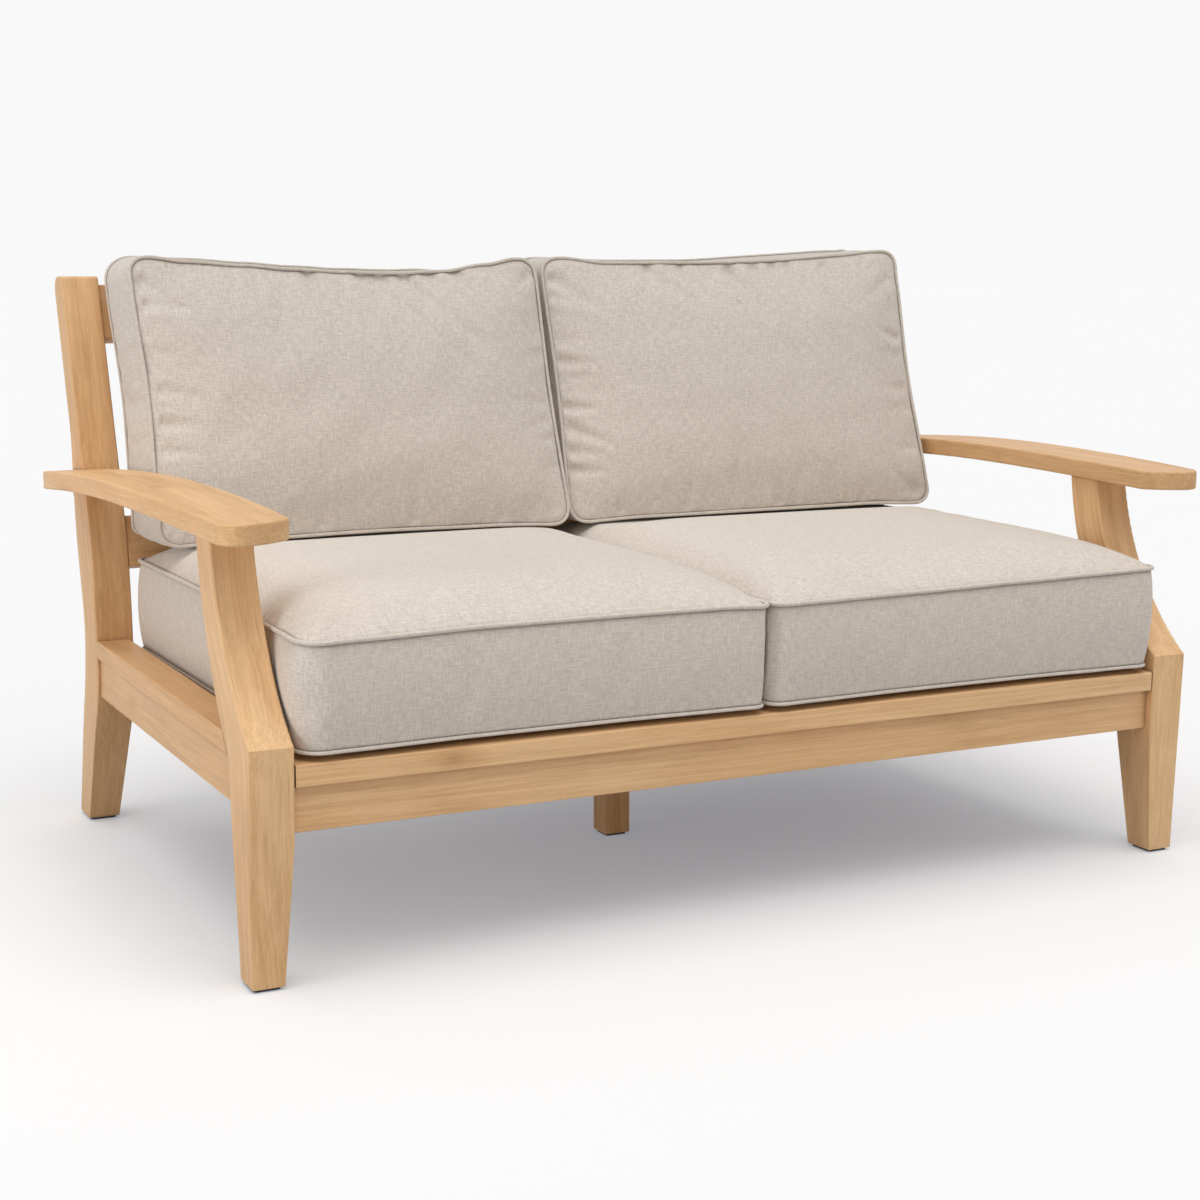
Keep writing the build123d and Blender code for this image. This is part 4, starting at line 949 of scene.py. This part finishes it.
fabric = fabric_material("fabric")
for side in ("left", "right"):
    left, right = across_of(side, SEAT_INNER, SEAT_OUTER)
    corners = SEAT_CORNERS[side]
    sides = outline(side, SEAT_DRAW_FRONT, SEAT_DRAW_SIDE, SEAT_DRAW_SIDE, SEAT_DRAW_JOINT)
    upper = loop_points(left, right, -0.007, SEAT_REAR, corners, SEAT_CELLS, sides, SEAT_LIFTS[side])
    lower = loop_points(left, right, 0.001, SEAT_REAR, corners, SEAT_CELLS, sides, FLAT)
    # The lower seam falls towards the front
    lower[2][:] = -0.0022 * eased(np.clip((0.10 - lower[0][:, 1]) / 0.09, 0, 1))
    made = cushion_mesh(
        "seat_cushion_pad_" + side, (lower, SEAT_LOW_SEAM_Z), (upper, SEAT_HIGH_SEAM_Z),
        SEAT_BULGES[side], SEAT_CROWNS, 12, SEAT_CELLS,
    )
    finish_cushion(
        made, seat_place, rest_on_slats, fabric, "seat_cushion_" + side,
        pressure=3.0, growth=0.004, cap=0.007, levels=1, uneven=0.0004,
        folds=[], welt_radii=(0.0026, 0.0032),
    )

# Back cushions: the low side is the foot and the first corner the low left
BACK_CELLS = (60, 42)
BACK_INNER, BACK_OUTER = 0.0044, 0.6705
BACK_LOW, BACK_HIGH = -0.2225, 0.2210
BACK_CORNERS = (0.026, 0.026, 0.026, 0.026)
BACK_REAR_CORNERS = {"left": (0.012, 0.026, 0.024, 0.042), "right": (0.026, 0.012, 0.014, 0.042)}
BACK_BULGES = (0.006, 0.0065, 0.0012, 0.0065)
BACK_CROWNS = ((0.036, (0.62, 0.62), 2.4), (0.033, (0.58, 0.58), 2.5))
BACK_DRAW_SIDE = [(0, 0), (0.1, 0.002), (0.5, 0.008), (0.9, 0.003), (1, 0)]
BACK_DRAW_JOINT = [(0, 0), (0.5, 0.004), (1, 0)]
BACK_DRAW_FOOT = [(0, 0), (0.2, 0.005), (0.5, 0.007), (0.8, 0.005), (1, 0)]
# Sag of the top edge, from left to right
BACK_SAG = {
    "left": [
        (0, 0), (0.03, 0.0), (0.13, 0.0075), (0.26, 0.0135), (0.38, 0.0194), (0.50, 0.0238),
        (0.63, 0.0262), (0.76, 0.0230), (0.88, 0.0115), (0.96, 0.002), (1, 0),
    ],
    "right": [
        (0, 0), (0.04, 0.0), (0.17, 0.0085), (0.34, 0.0080), (0.5, 0.0075),
        (0.7, 0.0090), (0.85, 0.0075), (0.95, 0.003), (1, 0),
    ],
}
# How far the rear edge's sag lags the front one's: at the left end, and more along the edge
BACK_SAG_LAG = {"left": (0.06, 0.03), "right": (0.11, 0.0)}
# Folds are (across, up, angle in degrees, length, width, depth)
BACK_FOLDS = {
    "left": [
        (-0.664, 0.190, -38, 0.10875, 0.0102, 0.0076), (-0.660, 0.150, -8, 0.07975, 0.0072, 0.00608),
        (-0.654, 0.016, -10, 0.0725, 0.0072, 0.0057), (-0.655, -0.034, -6, 0.0696, 0.0072, 0.0057),
        (-0.656, -0.078, -4, 0.0638, 0.0072, 0.00532), (-0.400, 0.204, -58, 0.09396, 0.00975, 0.0076),
        (-0.314, 0.205, -56, 0.11745, 0.00975, 0.00836), (-0.288, 0.205, -52, 0.19575, 0.0105, 0.01064),
        (-0.254, 0.207, -44, 0.254475, 0.012, 0.00988), (-0.205, 0.210, -50, 0.137025, 0.00975, 0.00684),
        (-0.158, 0.213, -48, 0.097875, 0.009, 0.00684), (-0.008, 0.200, -142, 0.0725, 0.0078, 0.00456),
        (-0.008, 0.060, 176, 0.0435, 0.0066, 0.00266), (-0.008, -0.080, 184, 0.0464, 0.0066, 0.00266),
        (-0.560, -0.212, 74, 0.058, 0.0084, 0.00304), (-0.420, -0.210, 84, 0.06525, 0.0084, 0.00304),
        (-0.270, -0.210, 92, 0.058, 0.0084, 0.00304), (-0.120, -0.213, 100, 0.06525, 0.0084, 0.00304),
    ],
    "right": [
        (0.010, 0.192, -36, 0.1015, 0.0102, 0.00798), (0.008, 0.160, -16, 0.06525, 0.0072, 0.00494),
        (0.008, 0.048, -6, 0.0667, 0.0078, 0.00646), (0.008, -0.030, -4, 0.0667, 0.0066, 0.0057),
        (0.008, -0.062, -24, 0.0986, 0.0078, 0.00684), (0.008, -0.106, -2, 0.0638, 0.0066, 0.00532),
        (0.008, -0.137, -2, 0.0696, 0.0066, 0.0057), (0.180, 0.210, -40, 0.1468125, 0.0105, 0.0076),
        (0.245, 0.211, -52, 0.097875, 0.009, 0.00532), (0.335, 0.211, -60, 0.13311, 0.0105, 0.0114),
        (0.384, 0.212, -60, 0.0880875, 0.009, 0.00684), (0.418, 0.213, -60, 0.0880875, 0.009, 0.00684),
        (0.448, 0.214, -62, 0.07047, 0.00825, 0.00532), (0.520, 0.216, -70, 0.0783, 0.009, 0.00532),
        (0.655, 0.075, 158, 0.06525, 0.0072, 0.00456), (0.655, -0.010, 184, 0.0493, 0.0066, 0.00266),
        (0.655, 0.190, 212, 0.07975, 0.009, 0.00494), (0.655, -0.205, 138, 0.09425, 0.0084, 0.0057),
        (0.655, -0.120, 176, 0.0522, 0.0066, 0.00304), (0.540, -0.214, 98, 0.06525, 0.0084, 0.00304),
        (0.380, -0.211, 92, 0.0725, 0.009, 0.00342), (0.210, -0.211, 84, 0.06525, 0.0084, 0.00304),
        (0.090, -0.213, 74, 0.06525, 0.0084, 0.00304),
    ],
}


def backwards(table):
    return [(1 - share, value) for share, value in reversed(table)]


def lean_on_back(co):
    """Keeps the cushion in front of the rails and above the seat cushion."""
    co[:, 1] = np.minimum(co[:, 1], KNEE_Y + rail_face(co[:, 2]) - 2 * BACK_GAP)
    co[:, 2] = np.maximum(co[:, 2], BACK_REST_Z)
    return co


# The back cushions get the same fabric at a lower tone: painted shade for the lesser light that reaches
# them.
fabric_back_shaded = fabric_material("fabric_back_shaded", 0.92)
for side in ("left", "right"):
    left, right = across_of(side, BACK_INNER, BACK_OUTER)
    sag = BACK_SAG[side]
    lag, grow = BACK_SAG_LAG[side]
    rear_sag = [(s + lag + grow * s, v - 0.004) for s, v in sag if 0.10 < s < 0.86]
    rear_sag = [(0, 0), (0.04, 0.0)] + rear_sag + [(1, 0)]
    sides = outline(side, BACK_DRAW_FOOT, backwards(sag), BACK_DRAW_SIDE, BACK_DRAW_JOINT)
    front = loop_points(left, right, BACK_LOW, BACK_HIGH, BACK_CORNERS, BACK_CELLS, sides, FLAT)
    sides = outline(side, BACK_DRAW_FOOT, backwards(rear_sag), BACK_DRAW_SIDE, BACK_DRAW_JOINT)
    rear = loop_points(left, right, BACK_LOW, BACK_HIGH, BACK_REAR_CORNERS[side], BACK_CELLS, sides, FLAT)
    if side == "left":
        # The rear edge is lower at its right end
        points = rear[0]
        points[:, 1] -= np.where(points[:, 1] > 0, 0.010, 0.0) * eased_from(points[:, 0], -0.17, 0.12)
    else:
        # The right end stands higher, the rear edge a little more than the front one
        for points, rise in ((front[0], 0.016), (rear[0], 0.018)):
            share = eased_from(points[:, 0] / BACK_OUTER, 0.45, 0.5)
            points[:, 1] += share * np.where(points[:, 1] > 0, rise, 0.006)
    made = cushion_mesh(
        "back_cushion_pad_" + side, (rear, BACK_REAR_LEVEL), (front, BACK_FRONT_LEVEL),
        BACK_BULGES, BACK_CROWNS, 14, BACK_CELLS, hold_high=True,
    )
    finish_cushion(
        made, back_place(side == "right"), lean_on_back, fabric_back_shaded, "back_cushion_" + side,
        pressure=4.0, growth=0.010, cap=0.014, levels=2, uneven=0.0009,
        folds=BACK_FOLDS[side], welt_radii=(0.0028, 0.0028),
    )
